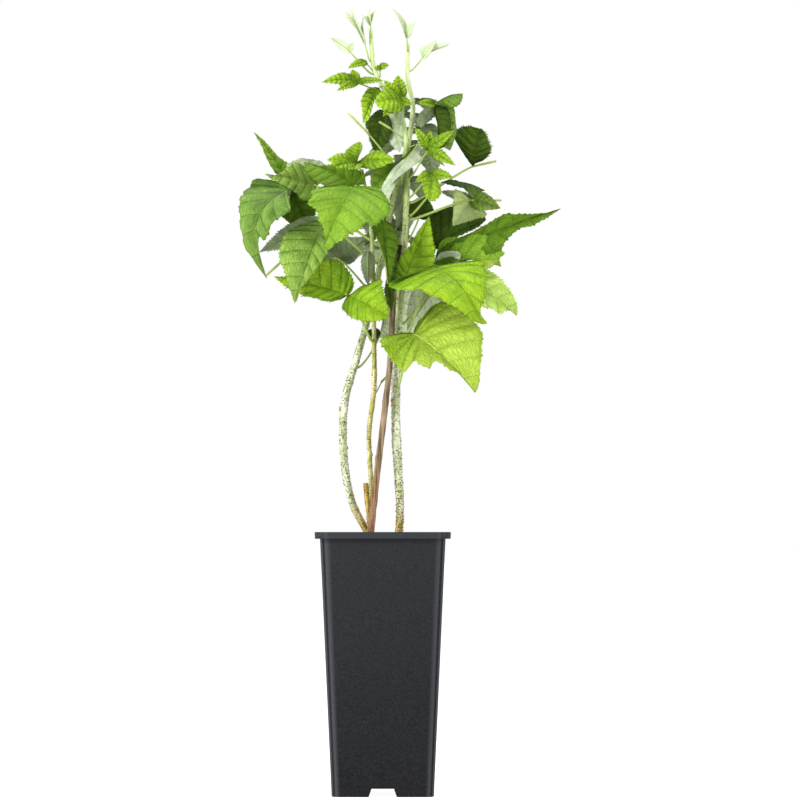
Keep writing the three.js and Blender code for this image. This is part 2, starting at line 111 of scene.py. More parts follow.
def linear(hex_colour):
    """An sRGB hex colour as linear red, green, blue and alpha."""
    channels = [int(hex_colour[i:i + 2], 16) / 255 for i in (1, 3, 5)]
    return [c / 12.92 if c <= 0.04045 else ((c + 0.055) / 1.055) ** 2.4 for c in channels] + [1]


def feed(tree, node, inputs):
    """Gives a node its inputs: values, or the outputs or nodes that are linked to it."""
    for name, value in inputs.items():
        if isinstance(value, bpy.types.Node):
            value = next(output for output in value.outputs if output.enabled)
        if isinstance(value, bpy.types.NodeSocket):
            tree.links.new(value, node.inputs[name])
        else:
            node.inputs[name].default_value = value


def add_node(tree, kind, settings=None, inputs=None):
    """Adds a node of any kind, with its settings and its inputs."""
    node = tree.nodes.new("ShaderNode" + kind)
    for name, value in (settings or {}).items():
        setattr(node, name, value)
    feed(tree, node, inputs or {})
    return node


def new_material(name, **values):
    """A material with one Principled surface, and the values given for it."""
    material = bpy.data.materials.new(name)
    material.use_nodes = True
    surface = material.node_tree.nodes["Principled BSDF"]
    for socket, value in values.items():
        surface.inputs[socket.replace("_", " ")].default_value = value
    return material, material.node_tree, surface


def two_toned(name, patch, detail, dark, light, **values):
    """A material whose colour wavers between two, in patches of a size in metres."""
    material, tree, surface = new_material(name, **values)
    place = add_node(tree, "TexCoord").outputs["Object"]
    tint = add_node(tree, "TexNoise", inputs={"Vector": place, "Scale": 1 / patch, "Detail": detail})
    colour = add_node(tree, "Mix", RGBA, {"Factor": tint, "A": linear(dark), "B": linear(light)})
    feed(tree, surface, {"Base Color": colour})
    return material


# %% [markdown]
# ## Moulded polypropylene
# Nursery pots are injection-moulded from black recycled polypropylene. The mould's spark-eroded faces
# give a fine matt grain, so highlights are broad and dull. A little dust stays in the grain as paler
# specks. Light and shade are painted into the colour as well: painted shade darkens the body towards its
# foot and darkens the round of each corner, and painted highlights make a paler band beside each corner
# and a paler lip. The real grain is about 0.3 mm, which is drawn at 0.9 mm so that it shows. How near a
# point is to a corner is the smaller of its two distances from the axis, as a share of the pot's half
# width at its height.

# %% Moulded polypropylene
GRAIN, DUST = 0.9 * MM, 2.2 * MM
CLOUDS_PER_METRE = 12
# Painted shade: the body's colour darkens from its top down to its foot.
SHADED_FOOT = {"From Min": 0, "From Max": 260 * MM}
HALF_WIDTH_AT_FOOT, SIDE_SLOPE = 50.5 * MM, 0.045
# Painted highlights: a paler band beside each corner, and a paler lip.
HIGHLIGHT_BESIDE_CORNER = {"From Min": 0.82, "From Max": 0.9}
# Painted shade: the round of each corner is darker.
SHADED_ROUND_OF_CORNER = {"From Min": 0.915, "From Max": 0.937}
HIGHLIGHT_ON_LIP = {"From Min": 253.8 * MM, "From Max": 254.6 * MM, "To Max": 0.5}
polypropylene, tree, surface = new_material(
    "moulded_polypropylene", Roughness=0.55, IOR=1.49, Specular_IOR_Level=0.14
)
place = add_node(tree, "TexCoord").outputs["Object"]
grain = add_node(tree, "TexNoise", inputs={"Vector": place, "Scale": 1 / GRAIN, "Detail": 3})
cloud = add_node(tree, "TexNoise", inputs={"Vector": place, "Scale": CLOUDS_PER_METRE, "Detail": 2})
dust = add_node(tree, "TexNoise", inputs={"Vector": place, "Scale": 1 / DUST, "Detail": 4, "Roughness": 0.7})
speck = add_node(tree, "MapRange", inputs={"Value": dust, "From Min": 0.35, "From Max": 0.75})
x, y, height = add_node(tree, "SeparateXYZ", inputs={"Vector": place}).outputs
# Painted shade towards the foot, mixed with random clouds of tone.
up = add_node(tree, "MapRange", inputs={"Value": height, **SHADED_FOOT})
shade = add_node(tree, "Math", MULTIPLY, {0: up, 1: 0.8})
uneven = add_node(tree, "Math", MULTIPLY_ADD, {0: cloud, 1: 0.25, 2: shade})
from_axis = add_node(tree, "Math", SUBTRACT, {0: x, 1: PLANT_SHIFT_X * MM})
x_size = add_node(tree, "Math", ABSOLUTE, {0: from_axis})
y_size = add_node(tree, "Math", ABSOLUTE, {0: y})
least = add_node(tree, "Math", {"operation": "MINIMUM"}, {0: x_size, 1: y_size})
half = add_node(tree, "Math", MULTIPLY_ADD, {0: height, 1: SIDE_SLOPE, 2: HALF_WIDTH_AT_FOOT})
share = add_node(tree, "Math", {"operation": "DIVIDE"}, {0: least, 1: half})
# A painted highlight band beside each corner, which stops where the corner's round gets painted shade.
rise = add_node(tree, "MapRange", SMOOTH, {"Value": share, **HIGHLIGHT_BESIDE_CORNER})
corner = add_node(tree, "MapRange", SMOOTH, {"Value": share, **SHADED_ROUND_OF_CORNER})
band = add_node(tree, "Math", SUBTRACT, {0: rise, 1: corner})
lip = add_node(tree, "MapRange", inputs={"Value": height, **HIGHLIGHT_ON_LIP})
paler = add_node(tree, "Math", MAXIMUM, {0: band, 1: lip})
speckled = add_node(tree, "Math", MULTIPLY, {0: speck, 1: 0.35})
# Random clouds of tone, with painted shade towards the foot.
face = add_node(tree, "Mix", RGBA, {"Factor": uneven, "A": linear("#090a0b"), "B": linear("#242528")})
# Painted shade on the round of each corner.
body = add_node(tree, "Mix", RGBA, {"Factor": corner, "A": face, "B": linear("#050606")})
# Painted highlights beside the corners and on the lip.
highlighted = add_node(tree, "Mix", RGBA, {"Factor": paler, "A": body, "B": linear("#37393c")})
colour = add_node(tree, "Mix", RGBA, {"Factor": speckled, "A": highlighted, "B": linear("#3f4045")})
bump = add_node(tree, "Bump", inputs={"Height": grain, "Strength": 0.5, "Distance": 0.3 * MM})
feed(tree, surface, {"Base Color": colour, "Normal": bump})
print("made", polypropylene.name)

# %% [markdown]
# ## Compost
# Moist bark and peat, quite dull. Its crumbs are brown and its hollows nearly black: the colour follows
# the crumbs' height, so this is partly the wet peat's own dark and partly painted shade. The chips of
# composted bark in it are paler along their fibres.

# %% Compost
CRUMB, FIBRE = 5 * MM, 1.5 * MM
compost, tree, surface = new_material("moist_compost", Roughness=0.95, Specular_IOR_Level=0.2)
place = add_node(tree, "TexCoord").outputs["Object"]
crumbs = add_node(tree, "TexNoise", inputs={"Vector": place, "Scale": 1 / CRUMB, "Detail": 6})
# Painted shade: where the crumb noise is low, in the hollows, the colour is darker; partly the wet peat's own
# dark.
lit = add_node(tree, "MapRange", inputs={"Value": crumbs, "From Min": 0.35, "From Max": 0.7})
colour = add_node(tree, "Mix", RGBA, {"Factor": lit, "A": linear("#150d08"), "B": linear("#43301f")})
bump = add_node(tree, "Bump", inputs={"Height": crumbs, "Strength": 0.9, "Distance": 1.5 * MM})
feed(tree, surface, {"Base Color": colour, "Normal": bump})
bark_chip = two_toned(
    "composted_bark", FIBRE, 4, "#2b1a10", "#664d34", Roughness=0.85, Specular_IOR_Level=0.25
)
print("made", compost.name, bark_chip.name)

# %% [markdown]
# ## Cane bark
# First-year raspberry bark is a thin green skin under a whitish wax bloom, which is rubbed off in streaks.
# It is golden at the foot, cream-coloured low on the cane, where the bloom is thick, and clear green
# towards the tip. The middle cane's bark has yellowed, and the dead stub at its foot is dry and golden. A
# second-year cane is brown wood, with a bark that splits lengthwise, russet where it flakes at the foot
# and dark at the cut top. Streaks are a noise that is drawn out along the cane.

# %% Cane bark
BLOOM_PATCH, FISSURE = 7 * MM, 2.4 * MM
BLOOM = {"patch": BLOOM_PATCH, "drawn_out": 0.3, "spread": (0.42, 0.62), "bump": (0.15, 0.3)}
FISSURES = {"patch": FISSURE, "drawn_out": 0.08, "spread": (0.38, 0.62), "bump": (0.6, 0.4)}
# Zones, from the foot up: the heights in millimetres between which each takes over, and its two colours.
OLD_ZONES = [
    (0, 0, "#684226", "#988064"), (270, 340, "#4e4232", "#8e7c64"), (500, 538, "#30211a", "#30211a"),
]


def living_zones(rubbed, waxy):
    """The zones of a green cane whose lower half has the given colours."""
    return [
        (0, 0, "#8f7b3c", "#b5a66c"), (268, 292, rubbed, waxy),
        (400, 560, "#869850", "#acb983"), (620, 720, "#a6b67a", "#c2cca6"),
    ]


def bark_material(name, pattern, zones, **values):
    """Bark whose two colours streak it, and change from zone to zone up the cane."""
    bark, tree, surface = new_material(name, **values)
    place = add_node(tree, "TexCoord").outputs["Object"]
    height = add_node(tree, "SeparateXYZ", inputs={"Vector": place}).outputs["Z"]
    along = add_node(tree, "Mapping", inputs={"Vector": place, "Scale": (1, 1, pattern["drawn_out"])})
    streaks = add_node(tree, "TexNoise", inputs={"Vector": along, "Scale": 1 / pattern["patch"], "Detail": 5})
    least, most = pattern["spread"]
    share = add_node(tree, "MapRange", inputs={"Value": streaks, "From Min": least, "From Max": most})
    colour = None
    for start, end, dark, light in zones:
        zone = add_node(tree, "Mix", RGBA, {"Factor": share, "A": linear(dark), "B": linear(light)})
        if colour is not None:
            ends = {"Value": height, "From Min": start * MM, "From Max": end * MM}
            reached = add_node(tree, "MapRange", inputs=ends)
            zone = add_node(tree, "Mix", RGBA, {"Factor": reached, "A": colour, "B": zone})
        colour = zone
    strength, depth = pattern["bump"]
    bump = add_node(tree, "Bump", inputs={"Height": streaks, "Strength": strength, "Distance": depth * MM})
    feed(tree, surface, {"Base Color": colour, "Normal": bump})
    return bark


LIVING = {"Roughness": 0.62, "Specular_IOR_Level": 0.35}
green_bark = bark_material("waxy_green_bark", BLOOM, living_zones("#9ca57c", "#c2c7ae"), **LIVING)
yellow_bark = bark_material("yellowed_green_bark", BLOOM, living_zones("#98954f", "#c0bc8a"), **LIVING)
dry_bark = bark_material("dry_golden_bark", BLOOM, living_zones("#755a22", "#b59c4c"), **LIVING)
old_bark = bark_material("fissured_brown_bark", FISSURES, OLD_ZONES, Roughness=0.8, Specular_IOR_Level=0.25)
print("made", green_bark.name, yellow_bark.name, dry_bark.name, old_bark.name)

# %% [markdown]
# ## Leaf surfaces
# A raspberry leaflet is quilted: its side veins lie in grooves, and a fine net of veins divides the strips
# between them into cells. Above it is a clear green with a dull sheen. Below it is felted with fine
# white hairs, and the veins stand out in green. Both patterns read the blade's own UV map, in which one
# unit of height is the whole midrib, so that they follow the veins wherever the blade bends. The net is
# drawn out between the side veins, as their rungs are. Shade is painted into the colour: painted shade
# darkens the grooves of the net, makes a blade darkest at its foot, and darkens each strip next to the
# vein below it, so that the strip is lighter towards the tip.

# %% Leaf surfaces
VEINS = 9
BLADE_MAP = "OFBake"
MAP_HALF = 0.24
MAP_MIDRIB = {"upper": 0.25, "under": 0.75}
NET_CELLS = {"large": 46, "small": 18}
RUNG_SHAPE = (1, 0.4, 1)
PATCHES = 5
# Each pattern is full at its first value and has faded out at its second.
FADES = {"net": (0, 0.2), "patch": (0.62, 0.4), "line": (0.008, 0.035), "rib": (0.002, 0.007)}
# Painted shade: a blade is darker at its foot and lighter up the blade, and each strip between side veins is
# darker next to the vein below it.
DARK_FOOT, LIGHTER_UP_BLADE, LIGHTER_UP_STRIP, PATCH_CONTRAST = 0.86, -1.0, -0.3, 0.5
# Painted shade in the grooves of the net of veins.
NET_CONTRAST, VEIN_CONTRAST = 0.28, 0.55
VEIN_RELIEF = 1.5


def vein_pattern(tree, face):
    """The blade's map, the places along it and in a strip, and the distances from side vein and midrib."""
    uv = add_node(tree, "UVMap", {"uv_map": BLADE_MAP})
    u, v = add_node(tree, "SeparateXYZ", inputs={"Vector": uv}).outputs[:2]
    along = add_node(tree, "Math", MULTIPLY, {0: v, 1: VEINS})
    in_strip = add_node(tree, "Math", {"operation": "FRACT"}, {0: along})
    side_vein = add_node(tree, "Math", {"operation": "PINGPONG"}, {0: along, 1: 0.5})
    offset = add_node(tree, "Math", SUBTRACT, {0: u, 1: MAP_MIDRIB[face]})
    across = add_node(tree, "Math", ABSOLUTE, {0: offset})
    return uv, v, in_strip, side_vein, across


def blade_material(name, face, size, depth, flesh, bright, vein, roughness):
    """A leaf surface: flesh with painted shade at its foot, on its pleats and in the grooves of its net, and
    veins of another colour.
    """
    material, tree, surface = new_material(name, Roughness=roughness, Specular_IOR_Level=0.18)
    uv, along, in_strip, side_vein, from_midrib = vein_pattern(tree, face)
    rungs = add_node(tree, "Mapping", inputs={"Vector": uv, "Scale": RUNG_SHAPE})
    cells = {"Vector": rungs, "Scale": NET_CELLS[size]}
    net = add_node(tree, "TexVoronoi", {"feature": "DISTANCE_TO_EDGE"}, cells)
    cloudy = {"Vector": uv, "Scale": PATCHES, "Detail": 6, "Roughness": 0.65}
    patch = add_node(tree, "TexNoise", inputs=cloudy)
    shares = {}
    for pattern, value in {"net": net, "patch": patch, "line": side_vein, "rib": from_midrib}.items():
        full, gone = FADES[pattern]
        ends = {"Value": value, "From Min": full, "From Max": gone, "To Min": 1, "To Max": 0}
        shares[pattern] = add_node(tree, "MapRange", SMOOTH, ends)
    # Painted shade at the blade's foot and on the lower side of each strip, with random patches of tone.
    foot_shade = add_node(tree, "Math", MULTIPLY_ADD, {0: along, 1: LIGHTER_UP_BLADE, 2: DARK_FOOT})
    slope = add_node(tree, "Math", MULTIPLY_ADD, {0: in_strip, 1: LIGHTER_UP_STRIP, 2: foot_shade})
    tone_and_shade = add_node(tree, "Math", MULTIPLY_ADD, {0: shares["patch"], 1: PATCH_CONTRAST, 2: slope})
    at_vein = add_node(tree, "Math", MAXIMUM, {0: shares["line"], 1: shares["rib"]})
    net_share = add_node(tree, "Math", MULTIPLY, {0: shares["net"], 1: NET_CONTRAST})
    vein_share = add_node(tree, "Math", MULTIPLY, {0: at_vein, 1: VEIN_CONTRAST})
    body = add_node(tree, "Mix", RGBA, {"Factor": tone_and_shade, "A": linear(bright), "B": linear(flesh)})
    # Painted shade: the net's grooves are darker than its cells.
    netted = add_node(tree, "Mix", RGBA, {"Factor": net_share, "A": body, "B": linear(flesh)})
    veined = add_node(tree, "Mix", RGBA, {"Factor": vein_share, "A": netted, "B": linear(vein)})
    groove = add_node(tree, "Math", MULTIPLY_ADD, {0: at_vein, 1: VEIN_RELIEF, 2: shares["net"]})
    relief = add_node(tree, "Math", MULTIPLY, {0: groove, 1: -1 if face == "upper" else 1})
    bump = add_node(tree, "Bump", inputs={"Height": relief, "Strength": 0.8, "Distance": depth * MM})
    feed(tree, surface, {"Base Color": veined, "Normal": bump})
    return material


# %% The leaf colours
# Flesh, flesh where it is brightest, and veins, for the upper side and for the underside.
LEAF_COLOURS = {
    "young": (("#68840a", "#9ab046", "#a9b858"), ("#8b9a78", "#9aa888", "#748550")),
    "tender": (("#426000", "#8aa828", "#3f5c00"), ("#8b9a78", "#9aa888", "#748550")),
    "lime": (("#88a836", "#b4ce6a", "#a2be5e"), ("#a2b272", "#b4c288", "#93a562")),
    "fresh": (("#527608", "#8caa24", "#527409"), ("#8f9f78", "#a0ae8a", "#6e8050")),
    "green": (("#50720a", "#7a9a2e", "#587c1c"), ("#8f9f78", "#a0ae8a", "#6e8050")),
    "dusk": (("#34500a", "#6f8c3c", "#466318"), ("#8f9f78", "#a0ae8a", "#6e8050")),
    "meadow": (("#466810", "#8aa44e", "#4e6e1a"), ("#8f9f78", "#a0ae8a", "#6e8050")),
    "deep": (("#3c5a00", "#62801a", "#52700e"), ("#8a9a72", "#9aa984", "#66784c")),
    # dark is a darker copy of the greens, as painted shade, for leaves that lie in shade.
    "dark": (("#283e05", "#47600d", "#4a5e14"), ("#82926a", "#909e7a", "#607244")),
    "silver": (("#4f6d00", "#668604", "#375200"), ("#a9b59a", "#bac6ac", "#8f9e7c")),
    # felt is a paler copy, as painted light, for undersides that lie in shade.
    "felt": (("#a3b482", "#b4c29a", "#93a866"), ("#bcc8a2", "#ced8b8", "#a8b68a")),
    "pale": (("#98a57c", "#a8b494", "#93a866"), ("#aab798", "#b4c0a4", "#9caa88")),
}
# How deep the veins' grooves are, in millimetres. The kinds with small leaflets have shallower ones.
GROOVE_DEPTH = 0.6
SMALL_KINDS = {"tender": 0.2, "silver": 0.15, "pale": 0.02}
blade_materials = {}
for kind, (above, below) in LEAF_COLOURS.items():
    size = "small" if kind in SMALL_KINDS else "large"
    depth = SMALL_KINDS.get(kind, GROOVE_DEPTH)
    blade_materials[kind] = [
        blade_material(f"leaf_upper_side_{kind}", "upper", size, depth, *above, roughness=0.55),
        blade_material(f"leaf_felted_underside_{kind}", "under", size, depth, *below, roughness=0.9),
    ]
print("leaf colours", list(blade_materials))

# %% [markdown]
# ## Small finishes
# Leaf stalks are a pale, yellowish green skin. Prickles are dark and horny, and bud scales dry and brown.

# %% Small finishes
leaf_stalk_skin = two_toned(
    "leaf_stalk_skin", 9 * MM, 3, "#788c34", "#a6b472", Roughness=0.5, Specular_IOR_Level=0.4
)
prickle_horn = two_toned(
    "prickle_horn", 4 * MM, 2, "#3a2118", "#6a4834", Roughness=0.55, Specular_IOR_Level=0.4
)
bud_scale = two_toned(
    "dry_bud_scale", 1.5 * MM, 3, "#765638", "#b09068", Roughness=0.7, Specular_IOR_Level=0.3
)
print("made", leaf_stalk_skin.name, prickle_horn.name, bud_scale.name)

# %% [markdown]
# ## Helpers for meshes
# A part is a dictionary with its vertices in millimetres and its faces. Many parts are joined into one
# piece by arrays, which is far quicker than joining Blender objects.


# %% Helpers for meshes
def part_of(bm):
    """A bmesh as a part, in millimetres. The bmesh is freed."""
    bm.verts.index_update()
    part = {
        "points": np.array([v.co[:] for v in bm.verts]),
        "faces": [[v.index for v in f.verts] for f in bm.faces],
    }
    bm.free()
    return part


def piece_of(name, parts, materials, replaces=(), smooth=True):
    """One object from many parts, which rides on the root body."""
    points, faces, uvs, slots = [], [], [], []
    start = 0
    for part in parts:
        points.append(part["points"])
        faces += [[i + start for i in face] for face in part["faces"]]
        uvs.append(part.get("uvs"))
        slots += part.get("slots", [0] * len(part["faces"]))
        start += len(part["points"])
    placed = (np.vstack(points) + (PLANT_SHIFT_X, 0, 0)) * MM
    mesh = bpy.data.meshes.new(name)
    mesh.from_pydata(placed.tolist(), [], faces)
    for material in materials:
        mesh.materials.append(material)
    mesh.polygons.foreach_set("material_index", slots)
    mesh.polygons.foreach_set("use_smooth", [smooth] * len(faces))
    if uvs[0] is not None:
        layer = mesh.uv_layers.new(name=BLADE_MAP)
        layer.data.foreach_set("uv", np.vstack(uvs).ravel())
    mesh.update()
    piece = add_object(name, mesh)
    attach(piece, "root")
    if replaces:
        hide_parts(*replaces)
    triangles = sum(len(face) - 2 for face in faces)
    print(f"{name}: {len(parts)} parts, {triangles} triangles")
    return piece


def straight_tube(sides, rings):
    """A capped cylinder of radius 1 whose rings stand at heights 0, 1, 2 and so on."""
    bm = bmesh.new()
    bmesh.ops.create_cone(bm, cap_ends=True, segments=sides, radius1=1, radius2=1, depth=rings - 1)
    bmesh.ops.translate(bm, verts=bm.verts, vec=(0, 0, (rings - 1) / 2))
    upright = [e for e in bm.edges if abs(e.verts[0].co.z - e.verts[1].co.z) > 0.5]
    if rings > 2:
        bmesh.ops.subdivide_edges(bm, edges=upright, cuts=rings - 2)
    return part_of(bm)


ACROSS_ALL_TUBES = (0.31, 0.95, 0.05)
tubes = {}


def tube_along(centres, radii, sides=8, relief=None):
    """A tube laid along its centres. Relief gives a factor for the radius from angles and ring numbers."""
    rings = len(centres)
    if (sides, rings) not in tubes:
        tubes[sides, rings] = straight_tube(sides, rings)
    straight = tubes[sides, rings]
    ring = np.rint(straight["points"][:, 2]).astype(int)
    tangents = np.gradient(centres, axis=0)
    tangents /= np.linalg.norm(tangents, axis=1)[:, None]
    side = np.cross(tangents[0], ACROSS_ALL_TUBES)
    sideways = []
    for tangent in tangents:
        side = side - tangent * side.dot(tangent)
        side /= np.linalg.norm(side)
        sideways.append(side)
    sideways = np.array(sideways)
    other = np.cross(tangents, sideways)
    x, y = straight["points"][:, 0], straight["points"][:, 1]
    radius = np.asarray(radii)[ring]
    if relief is not None:
        radius = radius * relief(np.arctan2(y, x), ring)
    points = centres[ring] + (sideways[ring] * x[:, None] + other[ring] * y[:, None]) * radius[:, None]
    return {"points": points, "faces": straight["faces"]}


# %% [markdown]
# ## The canes' paths
# Each cane runs through a few given points, joined by a centripetal Catmull-Rom curve. That kind
# keeps a curve from looping where its points come close together. The same curve carries the CAD solids,
# so the bark made here lies on them.

# %% The canes' points, from the pot's axis
CANES = {
    "cane_left": {
        "points": [
            (-9, 9, 245), (-17, 9, 263), (-29.5, 9, 287), (-38, 9, 325), (-38.7, 9, 388), (-25.5, 9, 438),
            (-16, 9, 472), (-5, 10, 519), (7, 11, 580), (21, 11, 633), (30, 11, 685), (25, 9, 717),
            (25, 8, 752),
        ],
        "radii": [3.7, 3.5, 3.5, 3.5, 3.4, 3.3, 3.2, 3.1, 3, 2.7, 2.3, 1.7],
    },
    "cane_right": {
        "points": [(15, 2, 245), (17, 2, 284), (13, 2, 361), (13, 2, 417), (16, 2, 480), (21, 1, 547),
                   (24, -1, 618), (21, -2, 667), (11, -2, 693), (-1, -1, 708), (-9, -1, 726), (-11.5, 0, 748),
                   (-12.5, 0, 766)],
        "radii": [3.6, 3.8, 4.2, 4.2, 4, 3.8, 3.4, 3, 2.8, 2.6, 2.4, 1.9],
    },
    "cane_middle": {
        "points": [(-13.5, 1, 288), (-12, 1, 312), (-13.2, 1, 335), (-14, 1, 361), (-9, 1, 403), (-9, 0, 452),
                   (-10, 0, 523), (-13, -1, 575), (-21, -4, 624)],
        "radii": [2, 2.3, 2.3, 2.3, 2.2, 2.1, 2, 1.8, 1.3],
    },
    "dead_stub": {
        "points": [(-11, 1, 245), (-13.5, 1, 272), (-15.5, 1, 292), (-17.5, 1, 310)],
        "radii": [3, 2.7, 2.6, 2.4],
    },
    "old_cane": {
        "points": [(-14, -6, 245), (-7, -7, 310), (2, -8, 384), (7, -8, 432), (11, -9, 500), (16.5, -9, 548)],
        "radii": [3.7, 3.3, 3.1, 3, 2.8, 2.7],
    },
}


# %% Curves through points
CURVE_STEPS = 16
CANE_STEP = 1.6


def evenly(points, count):
    """A chosen number of points at even steps along a line of straight stretches."""
    gone = np.concatenate([[0], np.cumsum(np.linalg.norm(np.diff(points, axis=0), axis=1))])
    even = np.linspace(0, gone[-1], count)
    return np.stack([np.interp(even, gone, column) for column in points.T], axis=1)


def smooth_path(points):
    """Many points along the centripetal Catmull-Rom curve through the given points."""
    p = np.array(points, float)
    p = np.vstack([2 * p[0] - p[1], p, 2 * p[-1] - p[-2]])
    knots = np.sqrt(np.linalg.norm(np.diff(p, axis=0), axis=1))
    t = np.linspace(0, 1, CURVE_STEPS + 1)[:, None]
    stretches = []
    for i in range(1, len(p) - 2):
        before, here, after = knots[i - 1:i + 2]
        rise = (p[i + 1] - p[i]) / here
        start = ((p[i] - p[i - 1]) / before - (p[i + 1] - p[i - 1]) / (before + here) + rise) * here
        end = (rise - (p[i + 2] - p[i]) / (here + after) + (p[i + 2] - p[i + 1]) / after) * here
        square = 3 * (p[i + 1] - p[i]) - 2 * start - end
        cube = 2 * (p[i] - p[i + 1]) + start + end
        stretches.append((p[i] + start * t + square * t ** 2 + cube * t ** 3)[:-1])
    return np.vstack(stretches + [p[-2:-1]])


def radii_along(radii, count):
    """Radii at even steps, from the few that are given."""
    return np.interp(np.linspace(0, 1, count), np.linspace(0, 1, len(radii)), radii)


cane_paths = {}
for name, cane in CANES.items():
    whole = smooth_path(cane["points"])
    length = np.linalg.norm(np.diff(whole, axis=0), axis=1).sum()
    centres = evenly(whole, round(length / CANE_STEP) + 1)
    cane_paths[name] = (centres, radii_along(cane["radii"], len(centres)))
    print(name, "runs", round(len(centres) * CANE_STEP), "mm")

# %% [markdown]
# ## Bark with relief
# A cane is never a plain pipe. It swells at each node, where a leaf sat, has a shallow ridge or two, and
# its skin waves a little. The relief is a factor on the radius, from the angle round the cane and the
# height. What would lie under the compost is cut off flat, just above its surface.

# %% Bark with relief
CANE_SIDES = 20
SOIL_TOP, CLEAR = 245, 0.3
NODE_REACH = 3.2
RIDGES, RIDGE_TWIST = 5, 30
SKIN_WAVE, WAVES_ROUND = 7, 1.3
# Swelling at the nodes, height of the ridges and roughness of the skin, as shares of the radius.
GREEN_RELIEF = (0.13, 0.02, 0.06)
RELIEF = {"old_cane": (0.1, 0.03, 0.1), "dead_stub": (0.1, 0.02, 0.1)}
NODES_AT = {
    "cane_left": [283, 345, 384, 431, 476, 530, 548, 566, 618, 676, 724],
    "cane_right": [302, 352, 392, 443, 470, 508, 556, 596, 648, 688, 722],
    "cane_middle": [338, 385, 418, 452, 498, 534, 562],
    "dead_stub": [296],
    "old_cane": [292, 335, 391, 447, 498],
}


def bark_relief(name, swelling, ridges, roughness):
    """The factor on a cane's radius: swollen nodes, ridges along it and an uneven skin."""
    centres, _ = cane_paths[name]

    def factor(angle, ring):
        height = centres[ring, 2]
        grown = sum(np.exp(-((height - node) / NODE_REACH) ** 2) for node in NODES_AT[name])
        uneven = [
            noise.noise(Vector((math.cos(a) * WAVES_ROUND, math.sin(a) * WAVES_ROUND, h / SKIN_WAVE)))
            for a, h in zip(angle, height)
        ]
        ridged = np.cos(RIDGES * angle + height / RIDGE_TWIST)
        return 1 + swelling * grown + ridges * ridged + roughness * np.array(uneven)

    return factor


def above_soil(points):
    """Lifts what lies below the compost's surface to just above it, as a flat cut."""
    lifted = points.copy()
    lifted[:, 2] = np.maximum(lifted[:, 2], SOIL_TOP + CLEAR)
    return lifted


bark_parts = {}
SLOT_OF_STUB = {"dead_stub": 1}
for name, (centres, radii) in cane_paths.items():
    relief = bark_relief(name, *RELIEF.get(name, GREEN_RELIEF))
    part = tube_along(centres, radii, CANE_SIDES, relief)
    part["points"] = above_soil(part["points"])
    part["slots"] = [SLOT_OF_STUB.get(name, 0)] * len(part["faces"])
    bark_parts[name] = part
piece_of("bark_left", [bark_parts["cane_left"]], [green_bark], ["cane_left"])
piece_of("bark_right", [bark_parts["cane_right"]], [green_bark], ["cane_right"])
piece_of(
    "bark_middle", [bark_parts["cane_middle"], bark_parts["dead_stub"]], [yellow_bark, dry_bark],
    ["cane_middle"],
)
piece_of("bark_old", [bark_parts["old_cane"]], [old_bark], ["old_cane"])

# %% [markdown]
# ## Prickles
# Raspberry canes carry fine straight prickles, one every few millimetres and densest near the ground. A
# prickle is a cone of five sides. They are dealt out by a seeded rule and joined into one piece: each ring
# of a cane's bark has twenty tries, and the chance of a prickle falls with the height.

# %% Prickles
PRICKLE_SIDES = 5
PRICKLE_SEED = 7
PRICKLE_SUNK, BARK_HOLD = 0.15, 0.98
TRIES, CHANCE = 20, 0.6
CROWDING = {"cane_left": 1.0, "cane_right": 1.1, "cane_middle": 0.8, "dead_stub": 0.4}
THINNED = {"heights": (420, 480, 620, 680), "shares": (1, 0.35, 0.2, 0)}
# Each pair is a range that is dealt from.
PRICKLE_SIZES, PRICKLE_STRETCHES, PRICKLE_TILTS = (0.8, 1.75), (0.5, 1.1), (-0.35, 0.1)
THICK_CANE = 3
BARE_FOOT = 2
deal = random.Random(PRICKLE_SEED)
prickle_bm = bmesh.new()
bmesh.ops.create_cone(
    prickle_bm, cap_ends=True, segments=PRICKLE_SIDES, radius1=0.5, radius2=0, depth=1
)
bmesh.ops.translate(prickle_bm, verts=prickle_bm.verts, vec=(0, 0, 0.5 - PRICKLE_SUNK))
prickle = part_of(prickle_bm)


def turned_to(points, direction, roll=0.0):
    """Points whose own height now runs along a direction."""
    turn = Vector(direction).to_track_quat("Z", "Y").to_matrix()
    spin = np.array([[math.cos(roll), -math.sin(roll), 0], [math.sin(roll), math.cos(roll), 0], [0, 0, 1]])
    return points @ spin.T @ np.array(turn).T


prickle_parts = []
for name, crowding in CROWDING.items():
    centres, radii = cane_paths[name]
    for ring in range(1, len(centres) - 2):
        low_on_cane = np.interp(centres[ring, 2], THINNED["heights"], THINNED["shares"])
        for _ in range(TRIES):
            if deal.random() > CHANCE * crowding * low_on_cane:
                continue
            angle = deal.uniform(0, 2 * math.pi)
            outward = np.array([math.cos(angle), math.sin(angle), 0])
            direction = outward + (0, 0, deal.uniform(*PRICKLE_TILTS))
            size = deal.uniform(*PRICKLE_SIZES) * min(1, radii[ring] / THICK_CANE)
            base = centres[ring] + outward * radii[ring] * BARK_HOLD
            if base[2] < SOIL_TOP + BARE_FOOT:
                continue
            sizes = (size, size, size * deal.uniform(*PRICKLE_STRETCHES))
            points = turned_to(prickle["points"] * sizes, direction) + base
            prickle_parts.append({"points": points, "faces": prickle["faces"]})
piece_of("prickles", prickle_parts, [prickle_horn], smooth=False)

# %% [markdown]
# ## Buds and ring scars
# A bud sits above each old leaf scar, on one side of the cane and then on the other. Two nodes carry the
# brown ring that a bud scale leaves behind.

